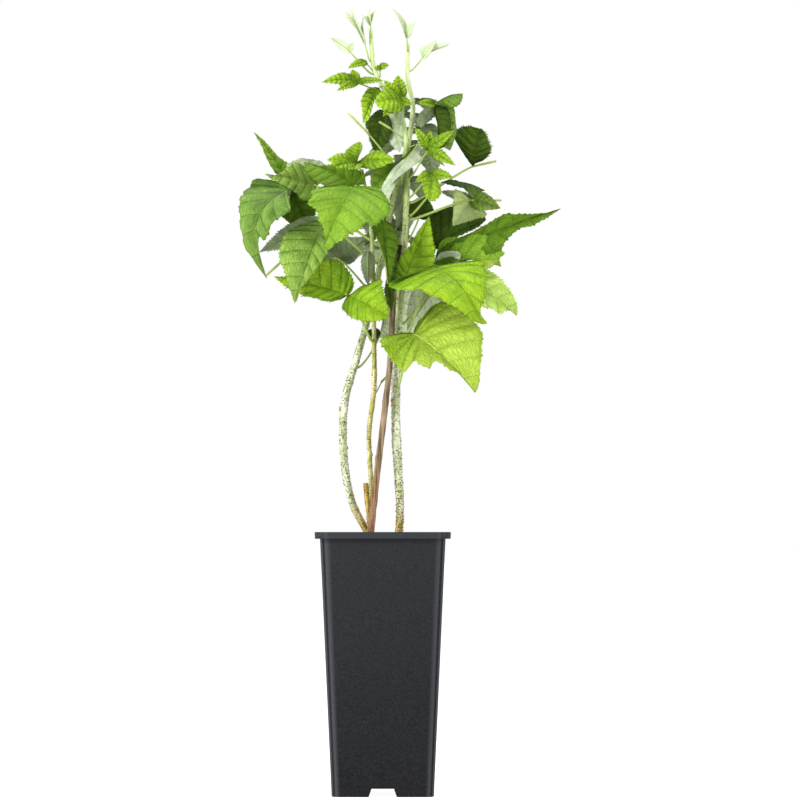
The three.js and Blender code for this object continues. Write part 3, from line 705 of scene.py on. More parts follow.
# %% Buds and ring scars
# Cane, height, side (-1 left, 1 right), share to the front (below 0 to the back), length and width.
BUDS = [
    ("cane_left", 384, -1, 0.2, 6.5, 4.4), ("cane_left", 345, 1, 0.3, 4.5, 3.2),
    ("cane_left", 431, 1, 0.6, 4, 2.8), ("cane_left", 476, -1, 0.5, 3.5, 2.6),
    ("cane_right", 392, -1, 0.7, 5, 3.6), ("cane_right", 352, 1, 0.4, 4, 3),
    ("cane_right", 443, 1, -0.4, 4, 3), ("cane_middle", 338, 1, 0.5, 3.8, 2.4),
    ("cane_middle", 418, -1, 0.4, 3.4, 2.4), ("old_cane", 335, -1, 0.5, 4, 2.8),
    ("old_cane", 447, 1, 0.4, 3.4, 2.4), ("old_cane", 391, -1, -0.5, 3.4, 2.4),
]
RING_SCARS = [("cane_left", 283), ("cane_right", 302), ("cane_middle", 452)]
SCAR_PROFILE = np.array([1.1, 1.19, 1.19, 1.1])
SCAR_HALF, SCAR_SIDES = 0.7, 16
BUD_POINT, BUD_FLATNESS, BUD_LEAN, BUD_OUT = 0.45, 0.8, 0.45, 1.05
BUD_SEGMENTS = {"u_segments": 10, "v_segments": 8}
bud_bm = bmesh.new()
bmesh.ops.create_uvsphere(bud_bm, radius=1, **BUD_SEGMENTS)
for vert in bud_bm.verts:
    pointed = 1 - BUD_POINT * max(0, vert.co.z)
    vert.co.x *= pointed
    vert.co.y *= pointed * BUD_FLATNESS
bud = part_of(bud_bm)


def cane_at(name, height):
    """The point, direction and radius of a cane where it passes a height."""
    centres, radii = cane_paths[name]
    ring = min(int(np.searchsorted(centres[:, 2], height)), len(centres) - 2)
    back = (centres[ring, 2] - height) / (centres[ring, 2] - centres[ring - 1, 2])
    point = centres[ring] + (centres[ring - 1] - centres[ring]) * back
    along = centres[ring + 1] - centres[ring - 1]
    return point, along / np.linalg.norm(along), radii[ring]


bud_parts = []
for name, height, side, front, length, width in BUDS:
    point, along, radius = cane_at(name, height)
    outward = np.array([side, -front, 0]) / math.hypot(side, front)
    points = turned_to(bud["points"] * (width / 2, width / 2, length / 2), along + outward * BUD_LEAN)
    bud_parts.append({"points": points + point + outward * radius * BUD_OUT, "faces": bud["faces"]})
for name, height in RING_SCARS:
    point, along, radius = cane_at(name, height)
    centres = point + along * np.linspace(-SCAR_HALF, SCAR_HALF, len(SCAR_PROFILE))[:, None]
    bud_parts.append(tube_along(centres, radius * SCAR_PROFILE, SCAR_SIDES))
piece_of("buds", bud_parts, [bud_scale])

# %% [markdown]
# ## The leaves
# Each row is one compound leaf: its node, the cane and height where its stalk springs, the joint where
# its leaflets meet, and its leaflets. A leaflet is its tip, its width, its roll (0 turns the upper side
# to the front, 90 up, 180 to the back) and its arch, as a share of its length. A leaflet narrower than
# three millimetres is a bare stalk whose blade is gone.

# %% Rows of leaves
LEAVES = [
    ("leaf_low_right", "cane_right", 406, (30, -34, 458), "young", [
        (91, -68, 398, 80, 14, 0.14), (22, -56, 416, 44, -12, 0.08), (-3, -50, 449, 26, 0, 0.05)]),
    ("leaf_mid_right", "cane_right", 443, (49, -30, 524), "young", [
        (98, -80, 465, 68, 25, 0.2), (7, -52, 509, 34, 10, 0.08), (115, -26, 532, 14, 20, 0.06)]),
    ("leaf_pale_right", "cane_right", 470, (58, -6, 514), "lime", [
        (133, -28, 476, 48, 30, 0.16), (84, -12, 488, 30, 0, 0.1), (24, 6, 463, 34, 172, 0.05)]),
    ("leaf_upright", "cane_right", 492, (22, -17, 513), "fresh", [(46, -27, 575, 36, 0, 0.06)]),
    ("leaf_low_grey", "cane_left", 427, (-4, 17, 456), "deep", [
        (14, 19, 520, 40, 175, 0.05), (-17, 17, 463, 12, 0, 0.05)]),
    ("leaf_long_right", "cane_right", 522, (52, 8, 532), "deep", [
        (178, 4, 585, 48, 12, 0.1), (118, -14, 526, 34, 28, 0.14), (78, -13, 537, 12, 165, 0.06)]),
    ("leaf_dark_right", "cane_right", 540, (47, 30, 549), "dark", [
        (104, 30, 576, 36, 10, 0.1), (60, 34, 588, 26, 10, 0.1)]),
    ("leaf_round_dark", "cane_right", 553, (36, 13, 576), "dark", [(42, 16, 599, 25, 0, 0.06)]),
    ("leaf_olive_right", "cane_right", 574, (88, 14, 595), "deep", [
        (118, 10, 586, 18, 15, 0.08), (70, 6, 568, 32, 168, 0.08), (57, 20, 604, 9, 165, 0.05),
        (119, 22, 595, 2.4, 0, 0)]),
    ("leaf_far_right", "cane_right", 591, (89, 22, 629), "dark", [
        (114, 26, 635, 2.4, 0, 0), (97, 16, 667, 38, -10, 0.08)]),
    ("leaf_narrow_right", "cane_right", 578, (58, 2, 611), "dark", [(102, 0, 603, 13, 50, 0.1)]),
    ("leaf_trio_right", "cane_right", 596, (49, -20, 619), "tender", [
        (47, -30, 590, 17, 0, 0.1), (32, -28, 609, 10, 10, 0.1), (70, -28, 614, 10, 10, 0.1)]),
    ("leaf_young_right", "cane_right", 616, (45, -15, 643), "tender", [
        (71, -24, 661, 10, 0, 0.1), (72, -26, 626, 10, 0, 0.1), (47, -20, 661, 10, 0, 0.1),
        (32, -22, 664, 9, 0, 0.08), (50, 4, 616, 20, 172, 0.05)]),
    ("leaf_silver", "cane_right", 646, (36, -8, 650), "green", [
        (-1, -34, 600, 14, 172, 0.04), (-11, -8, 604, 22, 0, 0.02), (3, -12, 588, 8, 172, 0.03)]),
    ("leaf_inner_grey", "cane_right", 620, (22, 6, 610), "deep", [(13, 6, 563, 9, 175, 0.03)]),
    ("leaf_curled_right", "cane_left", 676, (51, 0, 689), "deep", [
        (80, -2, 700, 13, 40, 0.12), (34, -4, 668, 20, 165, 0.15), (57, 2, 645, 20, 10, 0.1),
        (35, -8, 690, 8, 20, 0.1), (67, 7, 644, 14, 16, 0.07)]),
    ("leaf_low_left", "cane_middle", 452, (-34, -32, 496), "fresh", [
        (-108, -28, 515, 42, 12, 0.06), (7, -56, 473, 46, 8, 0.08)]),
    ("leaf_front", "cane_right", 508, (-26, -50, 605), "green", [
        (-58, -88, 539, 82, 12, 0.12), (-78, -40, 628, 40, 20, 0.1)]),
    ("leaf_quilted", "cane_left", 530, (-60, -18, 570), "meadow", [
        (-87, -54, 487, 52, 5, 0.1), (-124, -2, 541, 24, 165, 0.1), (-117, -8, 517, 2.4, 0, 0)]),
    ("leaf_far_left", "cane_left", 548, (-91, 8, 606), "dusk", [
        (-116, -16, 514, 50, 48, 0.32), (-130, 14, 663, 26, 40, 0.04), (-72, 4, 560, 38, 10, 0.1)]),
    ("leaf_upper_left", "cane_left", 566, (-66, -8, 607), "meadow", [
        (-117, -28, 617, 30, 15, 0.1), (-76, 14, 636, 40, 150, 0.08)]),
    ("leaf_grey", "cane_middle", 503, (-45, 8, 536), "dark", [
        (-63, 4, 536, 12, 165, 0.06), (-40, 16, 566, 30, 175, 0.06), (-16, 15, 557, 24, 170, 0.06)]),
    ("leaf_folded", "cane_middle", 562, (-1, -28, 577), "deep", [
        (6, -36, 507, 20, 0, 0.08), (9, -14, 481, 20, 0, 0.05), (5, -26, 508, 2.2, 0, 0)]),
    ("leaf_small_grey", "cane_middle", 534, (-15, -8, 541), "dark", [(-15, -12, 507, 12, 175, 0.05)]),
    ("leaf_young_left", "cane_middle", 622, (-26, -12, 630), "tender", [
        (-59, -30, 620, 16, 20, 0.12), (-56, -8, 633, 14, 20, 0.12), (-23, -2, 652, 14, 0, 0.05),
        (-30, -30, 616, 13, 10, 0.1), (12, -26, 632, 17, 15, 0.12)]),
    ("leaf_top_dark", "cane_right", 672, (3, 14, 684), "dark", [
        (-8, 18, 642, 26, 0, 0.1), (17, 6, 642, 20, 172, 0.05)]),
    ("leaf_top_fan", "cane_right", 688, (17, -12, 694), "tender", [
        (-8, -26, 689, 22, 10, 0.12), (0, -24, 675, 11, 10, 0.1), (29, -14, 688, 8, 0, 0.1),
        (15, -14, 662, 9, 170, 0.05), (15, -10, 718, 15, 0, 0.08), (1, -18, 712, 12, 0, 0.08)]),
    ("leaf_top_hanging", "cane_right", 708, (-4, -9, 705), "tender", [(-20, -22, 669, 17, 5, 0.1)]),
    ("leaf_top_left", "cane_right", 704, (-26, -8, 711), "tender", [
        (-61, -16, 710, 13, 25, 0.12), (-46, -22, 701, 7, 10, 0.1), (-31, -6, 724, 9, 0, 0.06),
        (0, -14, 712, 6, 20, 0.08)]),
    ("leaf_top_tiny", "cane_right", 716, (-3, -6, 727), "tender", [
        (6, -10, 728, 5, 0, 0.05), (-9, -8, 725, 4, 0, 0.05)]),
    ("leaf_top_strip", "cane_right", 724, (-16, -4, 731), "tender", [(-35, -8, 725, 8, 30, 0.12)]),
    ("leaf_top_pale", "cane_right", 721, (-33, -4, 742), "pale", [
        (-53, -8, 756, 9, 160, 0.1), (-30, -6, 752, 5, 0, 0.05)]),
    ("leaf_top_feathery", "cane_right", 733, (-18, -3, 750), "pale", [
        (-37, -3, 782, 7, 40, 0.1), (-20, -4, 777, 5, 60, 0.06), (-32, -3, 785, 4, 40, 0.08)]),
    ("shoot_tip_left", "cane_right", 757, (-12.5, -4, 769), "pale", [
        (-13, -5, 786, 7, 60, 0.06), (-8, -4, 784, 6, 60, 0.05), (-21, -5, 779, 6, 40, 0.1)]),
    ("leaf_top_right", "cane_left", 724, (40, 2, 737), "pale", [
        (54, -2, 754, 8, 20, 0.08), (67, -6, 750, 9, 150, 0.1)]),
    ("shoot_tip_right", "cane_left", 744, (24, 3, 757), "pale", [
        (9, 2, 787, 8, 50, 0.1), (32, -1, 773, 7, 20, 0.15)]),
    ("stalk_left_long", "cane_left", 626, (-13, 6, 659), "green", [(-35, 8, 681.5, 2.4, 0, 0)]),
    ("stalk_left_short", "cane_right", 656, (8, -10, 664), "green", [(-4, -13, 671, 2.4, 0, 0)]),
    ("stalk_middle", "cane_middle", 401, (-2, 6, 411), "green", [(4, 9, 417, 2.4, 0, 0)]),
]

# %% [markdown]
# ## Leaves on the far side
# They grow by a rule: up one cane in even steps, each turned on from the last, with three leaflets whose
# upper sides look to the sky. Pairs of values are for the lowest and the highest leaf, sizes are in
# millimetres, and angles in degrees.

# %% Leaves on the far side
BACK_LEAVES = {
    "count": 12, "height": (536, 694), "cane": "cane_left",
    "swing": (70, 30), "step": 185,
    "stalk": (36, 20), "rise": (17, 4), "length": (54, 35),
    "width_share": 0.62, "droop": 26, "spread": 64, "side_share": 0.78, "arch": 0.08, "pair_back": 14,
}
UPWARD = None
BACKWARD = 90
SIZED = ("height", "swing", "stalk", "rise", "length")
BACK_KINDS = ("green", "meadow", "deep")


def back_leaf(number):
    """One leaf of the far side, as a row like those above."""
    rule = BACK_LEAVES
    share = number / (rule["count"] - 1)
    sized = {key: rule[key][0] + (rule[key][1] - rule[key][0]) * share for key in SIZED}
    turned = math.sin(math.radians(number * rule["step"]))
    bearing = math.radians(BACKWARD + sized["swing"] * turned)
    droop = math.radians(rule["droop"])

    def out_along(turn, reach, rise):
        return np.array([math.cos(bearing + turn) * reach, math.sin(bearing + turn) * reach, rise])

    point, _, _ = cane_at(rule["cane"], sized["height"])
    joint = point + out_along(0, sized["stalk"], sized["rise"])
    leaflets = []
    for side in (0, 1, -1):
        length = sized["length"] * (rule["side_share"] if side else 1)
        turn = side * math.radians(rule["spread"])
        tip = joint + out_along(turn, length * math.cos(droop), -length * math.sin(droop))
        leaflets.append((*tip, length * rule["width_share"], UPWARD, rule["arch"]))
    name = f"leaf_back_{number + 1}"
    return name, rule["cane"], sized["height"], tuple(joint), BACK_KINDS[number % len(BACK_KINDS)], leaflets


back_leaves = [back_leaf(number) for number in range(BACK_LEAVES["count"])]
print(len(LEAVES), "leaves by hand,", len(back_leaves), "by the rule")

# %% [markdown]
# ## A blade
# Every leaflet is the same flat grid, bent to its place. The rows of the grid follow the side veins: they
# leave the midrib behind, run out and forward, and end at the margin. So a pleat is a wave from row to
# row, and a tooth is a row that reaches a little further. Solidify gives the grid its underside and rim.

# %% The flat grid of a blade
FINE, COARSE = (8, 20), (4, 10)
MAP_EDGE, MAP_RIM = 0.01, 0.006
FLAT_THICKNESS = 0.1


def blade_grid(rows_per_vein, columns):
    """A closed flat blade: its place across (-1 to 1) and along (0 to 1), and which face it is on."""
    bm = bmesh.new()
    bmesh.ops.create_grid(bm, x_segments=columns, y_segments=VEINS * rows_per_vein, size=1)
    bmesh.ops.solidify(bm, geom=bm.faces[:], thickness=FLAT_THICKNESS)
    grid = part_of(bm)
    place = grid["points"]
    upper = place[:, 2] > place[:, 2].mean()
    across, along = place[:, 0], (place[:, 1] + 1) / 2
    faces = np.array(grid["faces"])
    on_upper = upper[faces]
    rim = on_upper.any(axis=1) & ~on_upper.all(axis=1)
    under = ~on_upper.any(axis=1)
    middle = np.where(under, MAP_MIDRIB["under"], MAP_MIDRIB["upper"])[:, None]
    half = np.where(rim[:, None] & ~on_upper, MAP_HALF + MAP_RIM, MAP_HALF)
    u = middle + half * across[faces]
    v = MAP_EDGE + (1 - 2 * MAP_EDGE) * along[faces]
    return {
        "across": across, "along": along, "upper": upper, "faces": grid["faces"],
        "uvs": np.stack([u, v], axis=2).reshape(-1, 2), "slots": under.astype(int).tolist(),
        "rows_per_vein": rows_per_vein, "row": np.rint(along * VEINS * rows_per_vein).astype(int),
    }


grids = {detail: blade_grid(*detail) for detail in (FINE, COARSE)}
print("a large blade has", 2 * len(grids[FINE]["faces"]), "triangles")

# %% [markdown]
# ## Margins
# A leaflet of no special shape has the CAD leaflet's outline: widest at a third of its length, with a long
# thin tip. The large leaflets at the front are lobed, each in its own way, so their margins are drawn on a
# front view, in millimetres to the right and down. On it the pot's axis stands at 383 and its foot at 793.
# A drawn margin runs from the leaflet's joint to its tip, once for each side, by the points that its shape
# needs.

# %% Margins drawn on the front view
SHEET_AXIS = 383
SHEET_FOOT = 793
MARGINS = {
    ("leaf_low_right", 0): (
        [(418, 323), (425, 315), (432, 308.5), (440, 305), (447, 304.5), (455, 306.5), (463, 311.5),
         (471, 319), (478, 326), (482, 336), (481, 347), (481, 360), (479.5, 372), (479, 383), (477, 390)],
        [(402, 334), (392, 336), (382, 341), (386, 350), (394, 360), (399, 366), (404, 371), (410, 366),
         (415, 360), (420, 365), (430, 368), (435, 362), (443, 364), (450, 370), (458, 373), (465, 378),
         (470, 386)],
    ),
    ("leaf_mid_right", 0): (
        [(440, 266), (450, 264.5), (460, 264), (472, 263), (481, 262), (485, 271), (485, 285), (484, 297),
         (481, 306), (480, 313), (487, 323), (482, 324)],
        [(420, 271), (410, 276), (400, 280.5), (390, 283), (399, 288), (410, 292), (420, 292), (430, 296),
         (440, 298), (450, 303), (458, 308), (466, 314), (473, 321)],
    ),
    ("leaf_mid_right", 2): (
        [(445, 268), (460, 264), (475, 260), (488, 259.5)],
        [(445, 272), (460, 272), (475, 271), (490, 267)],
    ),
    ("leaf_pale_right", 0): (
        [(450, 272), (470, 268), (485, 269.5), (493, 273), (500, 279), (506, 287), (512, 296), (516, 304),
         (517.5, 311)],
        [(450, 290), (465, 302), (480, 306), (486, 308), (493, 309), (501, 314), (505, 310), (512, 311)],
    ),
    ("leaf_upright", 0): (
        [(396, 280), (395, 270), (399, 261), (405, 252), (411, 245), (416, 236), (420, 229), (425, 222)],
        [(418, 284), (428, 275), (433, 265), (434, 252), (432, 238), (430.5, 226)],
    ),
    ("leaf_long_right", 0): (
        [(440, 250), (452, 242), (464, 237), (478, 230), (490, 223), (500, 216.5), (506, 214), (516, 214.5),
         (530, 214.5), (545, 213), (554, 211)],
        [(445, 263), (460, 262), (475, 258), (490, 252), (503, 243), (511, 235), (520, 228), (530, 226),
         (540, 221), (552, 214)],
    ),
    ("leaf_low_grey", 0): (
        [(381, 330), (383, 318), (386, 305), (391, 290)],
        [(394, 336), (408, 335), (417, 326), (420, 311), (416, 298), (408, 286)],
    ),
    ("leaf_long_right", 1): (
        [(440, 245), (446, 238.5), (460, 237), (478, 236), (492, 238), (503, 243), (501, 249), (504, 254),
         (500, 257), (500, 262)],
        [(434, 264), (441, 264), (455, 262), (466, 259), (478, 256), (488, 258), (495, 262)],
    ),
    ("leaf_long_right", 2): (
        [(440, 254), (447, 251.5), (455, 251.5), (460, 253)],
        [(437, 265), (446, 266), (454, 264), (459, 260)],
    ),
    ("leaf_dark_right", 0): (
        [(429, 230), (431, 216), (438, 211.5), (447, 208), (458, 206), (470, 206), (480, 210)],
        [(431, 258), (436, 248), (444, 241), (455, 237), (468, 231), (478, 226)],
    ),
    ("leaf_front", 0): (
        [(345, 186.5), (335, 185), (325, 185), (314, 190), (313, 197), (309, 206), (317, 209), (320, 219),
         (324, 227), (325.5, 238), (325, 247)],
        [(365, 187.5), (373, 187), (379, 191), (385, 198), (389, 207), (384, 215), (377, 220), (371, 226),
         (366, 222), (359, 230), (351, 233), (343, 238), (335, 242.5), (329, 249)],
    ),
    ("leaf_front", 1): (
        [(363, 184), (364, 176), (358, 171), (348, 170), (338, 168), (326, 165.5), (319, 166.5), (310, 168)],
        [(350, 188), (338, 187), (325, 185.5), (318, 181), (311, 175), (306, 170)],
    ),
    ("leaf_quilted", 0): (
        [(314, 221), (305, 223), (297, 227), (289, 232.5), (284, 240), (280.5, 249), (280, 257), (283, 266),
         (287, 277), (290, 288), (293, 298)],
        [(328, 227), (330, 240), (327, 252), (320, 263), (313, 272), (306, 281), (300, 289), (297.5, 298)],
    ),
    ("leaf_far_left", 0): (
        [(285, 184), (276, 181.5), (267, 180), (258, 179), (251, 183), (246, 191), (242.5, 200), (241, 211),
         (241.5, 222), (243, 236), (245.5, 248), (251, 257), (257, 266)],
        [(291, 196), (290.5, 208), (285, 214), (276, 220), (271, 229), (265.5, 241), (260, 236), (259.5, 247),
         (257.5, 257), (260, 266)],
    ),
    ("leaf_far_left", 1): (
        [(284, 180), (277, 175), (272, 169), (267, 158), (263, 149), (257, 138)],
        [(292, 178), (292, 167), (285, 161), (277, 156), (270, 148), (262, 139)],
    ),
    ("leaf_upper_left", 0): (
        [(316, 180), (309, 171), (302, 165), (294, 164), (287, 168), (280, 173), (273, 176)],
        [(312, 196), (303, 199), (297, 192), (288, 187), (279, 182), (272, 178.5)],
    ),
    ("leaf_upper_left", 1): (
        [(300, 180), (289, 173), (287, 165), (293, 160), (301, 157.5)],
        [(322, 180), (326, 171), (322, 163), (314, 158.5)],
    ),
    ("leaf_low_left", 0): (
        [(352, 291), (353, 283), (350, 275), (345, 268), (338, 263), (330, 261.5), (321, 262.5), (314, 267),
         (306, 273), (296, 276), (285, 277)],
        [(341, 299), (332, 301), (324, 300), (315, 297), (305, 295), (296, 291), (288, 287), (280, 281)],
    ),
    ("leaf_low_left", 1): (
        [(354, 293), (360, 288), (367, 285.5), (374, 281), (380, 279.5), (382, 290), (385, 301), (388, 311)],
        [(345, 301), (343, 306), (348, 313), (356, 318.5), (367, 320), (379, 320)],
    ),
    ("leaf_silver", 0): (
        [(418, 147), (410, 154), (402, 160), (394, 167), (388, 176), (382, 186)],
        [(424, 151), (421, 158), (412, 166), (404, 172), (394, 180), (386, 190)],
    ),
    ("leaf_silver", 1): (
        [(404, 157), (397, 162), (388, 163), (380, 167), (374, 174), (371, 182)],
        [(404, 167), (396, 175), (390, 181), (383, 186), (376, 189)],
    ),
    ("leaf_silver", 2): (
        [(390, 174), (383, 183), (379, 190), (380, 198), (384, 204)],
        [(396, 176), (394, 184), (391, 194), (388, 204)],
    ),
    ("leaf_trio_right", 0): (
        [(425, 180), (423, 187), (426, 194), (429, 200)],
        [(437, 180), (440, 187), (440, 194), (434, 200)],
    ),
    ("leaf_curled_right", 0): (
        [(440, 101), (445, 97.5), (450, 94.5), (455, 93.5)],
        [(447, 105), (453, 107), (458, 106), (461, 100)],
    ),
    ("leaf_curled_right", 4): (
        [(436, 110), (438, 120), (440, 132), (442, 144)],
        [(449, 101), (454, 109), (455.5, 122), (455, 136), (451, 148)],
    ),
    ("leaf_curled_right", 2): (
        [(434, 110), (437, 120), (438, 131), (438, 142)],
        [(445, 106), (449, 113), (450, 124), (449, 136), (445, 145)],
    ),
    ("leaf_curled_right", 1): (
        [(428, 106), (421, 112), (417, 119)],
        [(436, 112), (432, 117), (427, 121), (421, 126)],
    ),
    ("leaf_far_right", 1): (
        [(468, 158), (463, 150), (458, 142), (454, 134), (462, 127.5), (470, 126)],
        [(475, 163), (482, 160), (488, 154), (490, 148), (488, 141), (485, 133), (481, 128)],
    ),
    ("leaf_narrow_right", 0): (
        [(452, 180), (465, 183.5), (474, 186), (477, 189.5)],
        [(450, 184), (460, 187.5), (468, 192), (473, 197), (479, 192)],
    ),
    ("leaf_olive_right", 1): (
        [(464, 193), (456, 190), (455, 201), (454, 213)],
        [(480, 206), (487, 214), (478, 217), (465, 221)],
    ),
    ("leaf_top_hanging", 0): (
        [(372, 87), (366, 92), (362, 100), (363, 110), (363, 118)],
        [(380, 91), (375, 98), (372, 106), (370, 113), (367, 120)],
    ),
    ("leaf_top_feathery", 0): (
        [(363, 40), (357, 29), (350, 20), (345.5, 14)],
        [(365, 40), (360, 29), (354, 20), (349, 13)],
    ),
    ("leaf_top_feathery", 2): (
        [(364, 40), (358, 28), (353, 17)],
        [(365.5, 40), (361, 28), (356, 18)],
    ),
    ("leaf_top_fan", 0): (
        [(395, 90), (388, 88), (381, 92), (376, 98)],
        [(402, 108), (396, 111), (388, 110), (380, 107)],
    ),
    ("leaf_top_dark", 0): (
        [(380, 109), (372, 115), (366, 123), (369, 130), (370, 138), (373, 146)],
        [(387, 113), (391, 121), (391, 131), (387, 139), (381, 148)],
    ),
    ("leaf_top_dark", 1): (
        [(384, 116), (381, 124), (383, 131), (389, 139), (395, 147)],
        [(396, 113), (401, 121), (403, 131), (402, 140)],
    ),
    ("leaf_top_right", 1): (
        [(419, 49), (424, 45.5), (430, 44), (437, 42.5), (445, 42)],
        [(427, 54), (431, 51), (438, 48), (445, 45.5)],
    ),
    ("leaf_young_left", 0): (
        [(350, 158), (342, 158), (335, 161), (328, 167)],
        [(352, 166), (345, 170), (337, 172), (330, 173)],
    ),
    ("leaf_young_left", 2): (
        [(351, 159), (346, 156), (347, 150), (353, 145)],
        [(358, 157), (361, 150), (361.5, 145)],
    ),
    ("leaf_young_left", 4): (
        [(362, 159), (370, 153), (378, 151), (386, 154)],
        [(364, 167), (372, 168), (381, 166), (388, 163)],
    ),
    ("leaf_folded", 0): (
        [(371, 221), (375, 232), (380, 242), (384, 254), (387, 268), (388, 280)],
        [(384, 218), (392, 225), (397, 236), (397, 246), (394.5, 257), (392, 270), (390, 281)],
    ),
    ("leaf_folded", 1): (
        [(386, 250), (387, 262), (387, 275), (385, 290), (387, 302)],
        [(396, 248), (396, 262), (395, 275), (394, 290), (393, 302)],
    ),
}
# Leaflets that are lobes of the first leaflet's drawn margin.
DRAWN_IN_ONE = [("leaf_low_right", 1), ("leaf_low_right", 2), ("leaf_mid_right", 1)]
print(len(MARGINS), "margins are drawn")

# %% [markdown]
# ## Bending a blade into place
# The margin gets its double teeth, the strips between the veins bulge upwards, the two halves rise from
# the midrib, the whole blade arches, and its edge waves. Side veins leave the midrib at about fifty
# degrees. Where that would put them behind the joint, they start at the joint and fan out. Lengths are in
# millimetres. Pairs of values for teeth and ripples are the ends of a range that is dealt from.

# %% Bending a blade into place
FRONT = Vector((0, -1, 0))
UP_AND_OUT = 0.5
BASE_ROUNDNESS, TIP_SLENDERNESS = 0.55, 1.15
PEAK = BASE_ROUNDNESS / (BASE_ROUNDNESS + TIP_SLENDERNESS)
PEAK_WIDTH = PEAK ** BASE_ROUNDNESS * (1 - PEAK) ** TIP_SLENDERNESS
HEART, HEART_REACH = 0.3, 0.07
# The tooth of each row from one vein to the next, by the number of rows.
TEETH = {8: (1.0, 0.05, 0.4, 0.7, 0.1, 0.5, 0.8, 0.2), 4: (1.0, 0.15, 0.7, 0.25)}
LEAST_TOOTH, TOOTH_SHARE, MOST_TOOTH = 1.2, 0.018, 2.4
TOOTH_SIZES, TOOTH_EDGE = (0.55, 1.35), 4
GROWN_FROM_FOOT, GROWN_FROM_TIP, TIP_EASE = 7, 5, 0.7
VEIN_SLANT, VEIN_CURVE, VEINS_EVENED = 0.75, 0.16, 0.12
FOLD, FOLD_STEEP, FOLD_EASE = 0.2, 1.2, 0.35
PLEAT, PLEAT_FULLNESS, PLEAT_FROM_MIDRIB, PLEAT_FROM_TIP = 0.11, 0.7, 0.25, 6
RIPPLE, RIPPLES, RIPPLE_STARTS = 0.09, (1.5, 2.6), (0, 6.3)
BLADE_THICKNESS = 0.4
LARGE = 34
LEAST_HALF, FOOT_EXTRA = 0.35, 0.3
MARGIN_POINTS, MARGIN_CROWDING = 40, 1.4
SIGHT_PASSES = 6
RIB_END, RIB_POINTS, RIB_SINK = 0.95, 14, 0.35


def leaflet_frame(joint, tip, roll):
    """The directions of a leaflet: along its midrib, out of its upper side, and across it."""
    along = (tip - joint).normalized()
    if roll is UPWARD:
        upper = Vector((0, 0, 1)) - along * along.z
        upper.normalize()
        return along, upper, along.cross(upper)
    facing = (FRONT - along * FRONT.dot(along)).normalized()
    rising = along.cross(facing)
    outward = Vector((math.copysign(UP_AND_OUT, joint.x), 0, 1))
    if rising.dot(outward) < 0:
        rising.negate()
    turn = math.radians(roll)
    upper = facing * math.cos(turn) + rising * math.sin(turn)
    return along, upper, along.cross(upper)


def arch_height(x, length, arch):
    """How high a midrib's arch stands at a distance along it."""
    return arch * length * np.sin(np.pi * np.clip(x / length, 0, 1))


def laid_out(joint, directions, along, upward, across):
    """Points given along, out of and across a leaflet, as points of the plant."""
    return np.array(joint) + np.stack([along, upward, across], axis=1) @ np.array(directions)


def drawn_margin(points, joint, directions, length, arch, fold):
    """A margin from the front view, as places along and across the blade's own plane.

    Each pass follows the lines of sight to the height that the bent blade had at the last one.
    """
    eye = np.array([CAMERA_AIM.x / MM - PLANT_SHIFT_X, -CAMERA_AWAY / MM, CAMERA_HEIGHT / MM])
    along, upper, across = (np.array(d) for d in directions)
    seen = np.array(points, float)
    rays = np.stack(
        [seen[:, 0] - SHEET_AXIS - eye[0], np.full(len(seen), -eye[1]), SHEET_FOOT - seen[:, 1] - eye[2]],
        axis=1,
    )
    x, y = np.zeros(len(seen)), np.zeros(len(seen))
    for _ in range(SIGHT_PASSES):
        height = arch_height(x, length, arch) + fold * np.abs(y) * (FOLD_STEEP - FOLD_EASE)
        off_plane = np.array(joint) + np.outer(height, upper)
        reach = ((off_plane - eye) @ upper) / (rays @ upper)
        met = eye + rays * reach[:, None] - off_plane
        x, y = met @ along, met @ across
    return np.stack([x, y, 0 * x], axis=1)


def plain_margin(length, width):
    """The CAD leaflet's outline on one side."""
    t = np.linspace(0, 1, MARGIN_POINTS) ** MARGIN_CROWDING
    half = width / 2 * t ** BASE_ROUNDNESS * (1 - t) ** TIP_SLENDERNESS / PEAK_WIDTH
    x = t * length - HEART * length * np.sqrt(t) * np.exp(-t / HEART_REACH)
    return np.stack([x, half, 0 * x], axis=1)


def both_margins(key, joint, directions, length, width, arch, fold, rows):
    """Where each row meets the margin: on the near side (across < 0) and on the far one."""
    if key not in MARGINS:
        line = evenly(plain_margin(length, width), rows + 1)
        return np.stack([line, line])
    drawn = [drawn_margin(points, joint, directions, length, arch, fold) for points in MARGINS[key]]
    drawn.sort(key=lambda line: line[:, 1].mean())
    sides = []
    for line, turned in zip(drawn, (-1, 1)):
        whole = smooth_path(np.vstack([[0, 0, 0], line * (1, turned, 1), [length, 0, 0]]))
        sides.append(evenly(whole, rows + 1))
    return np.stack(sides)


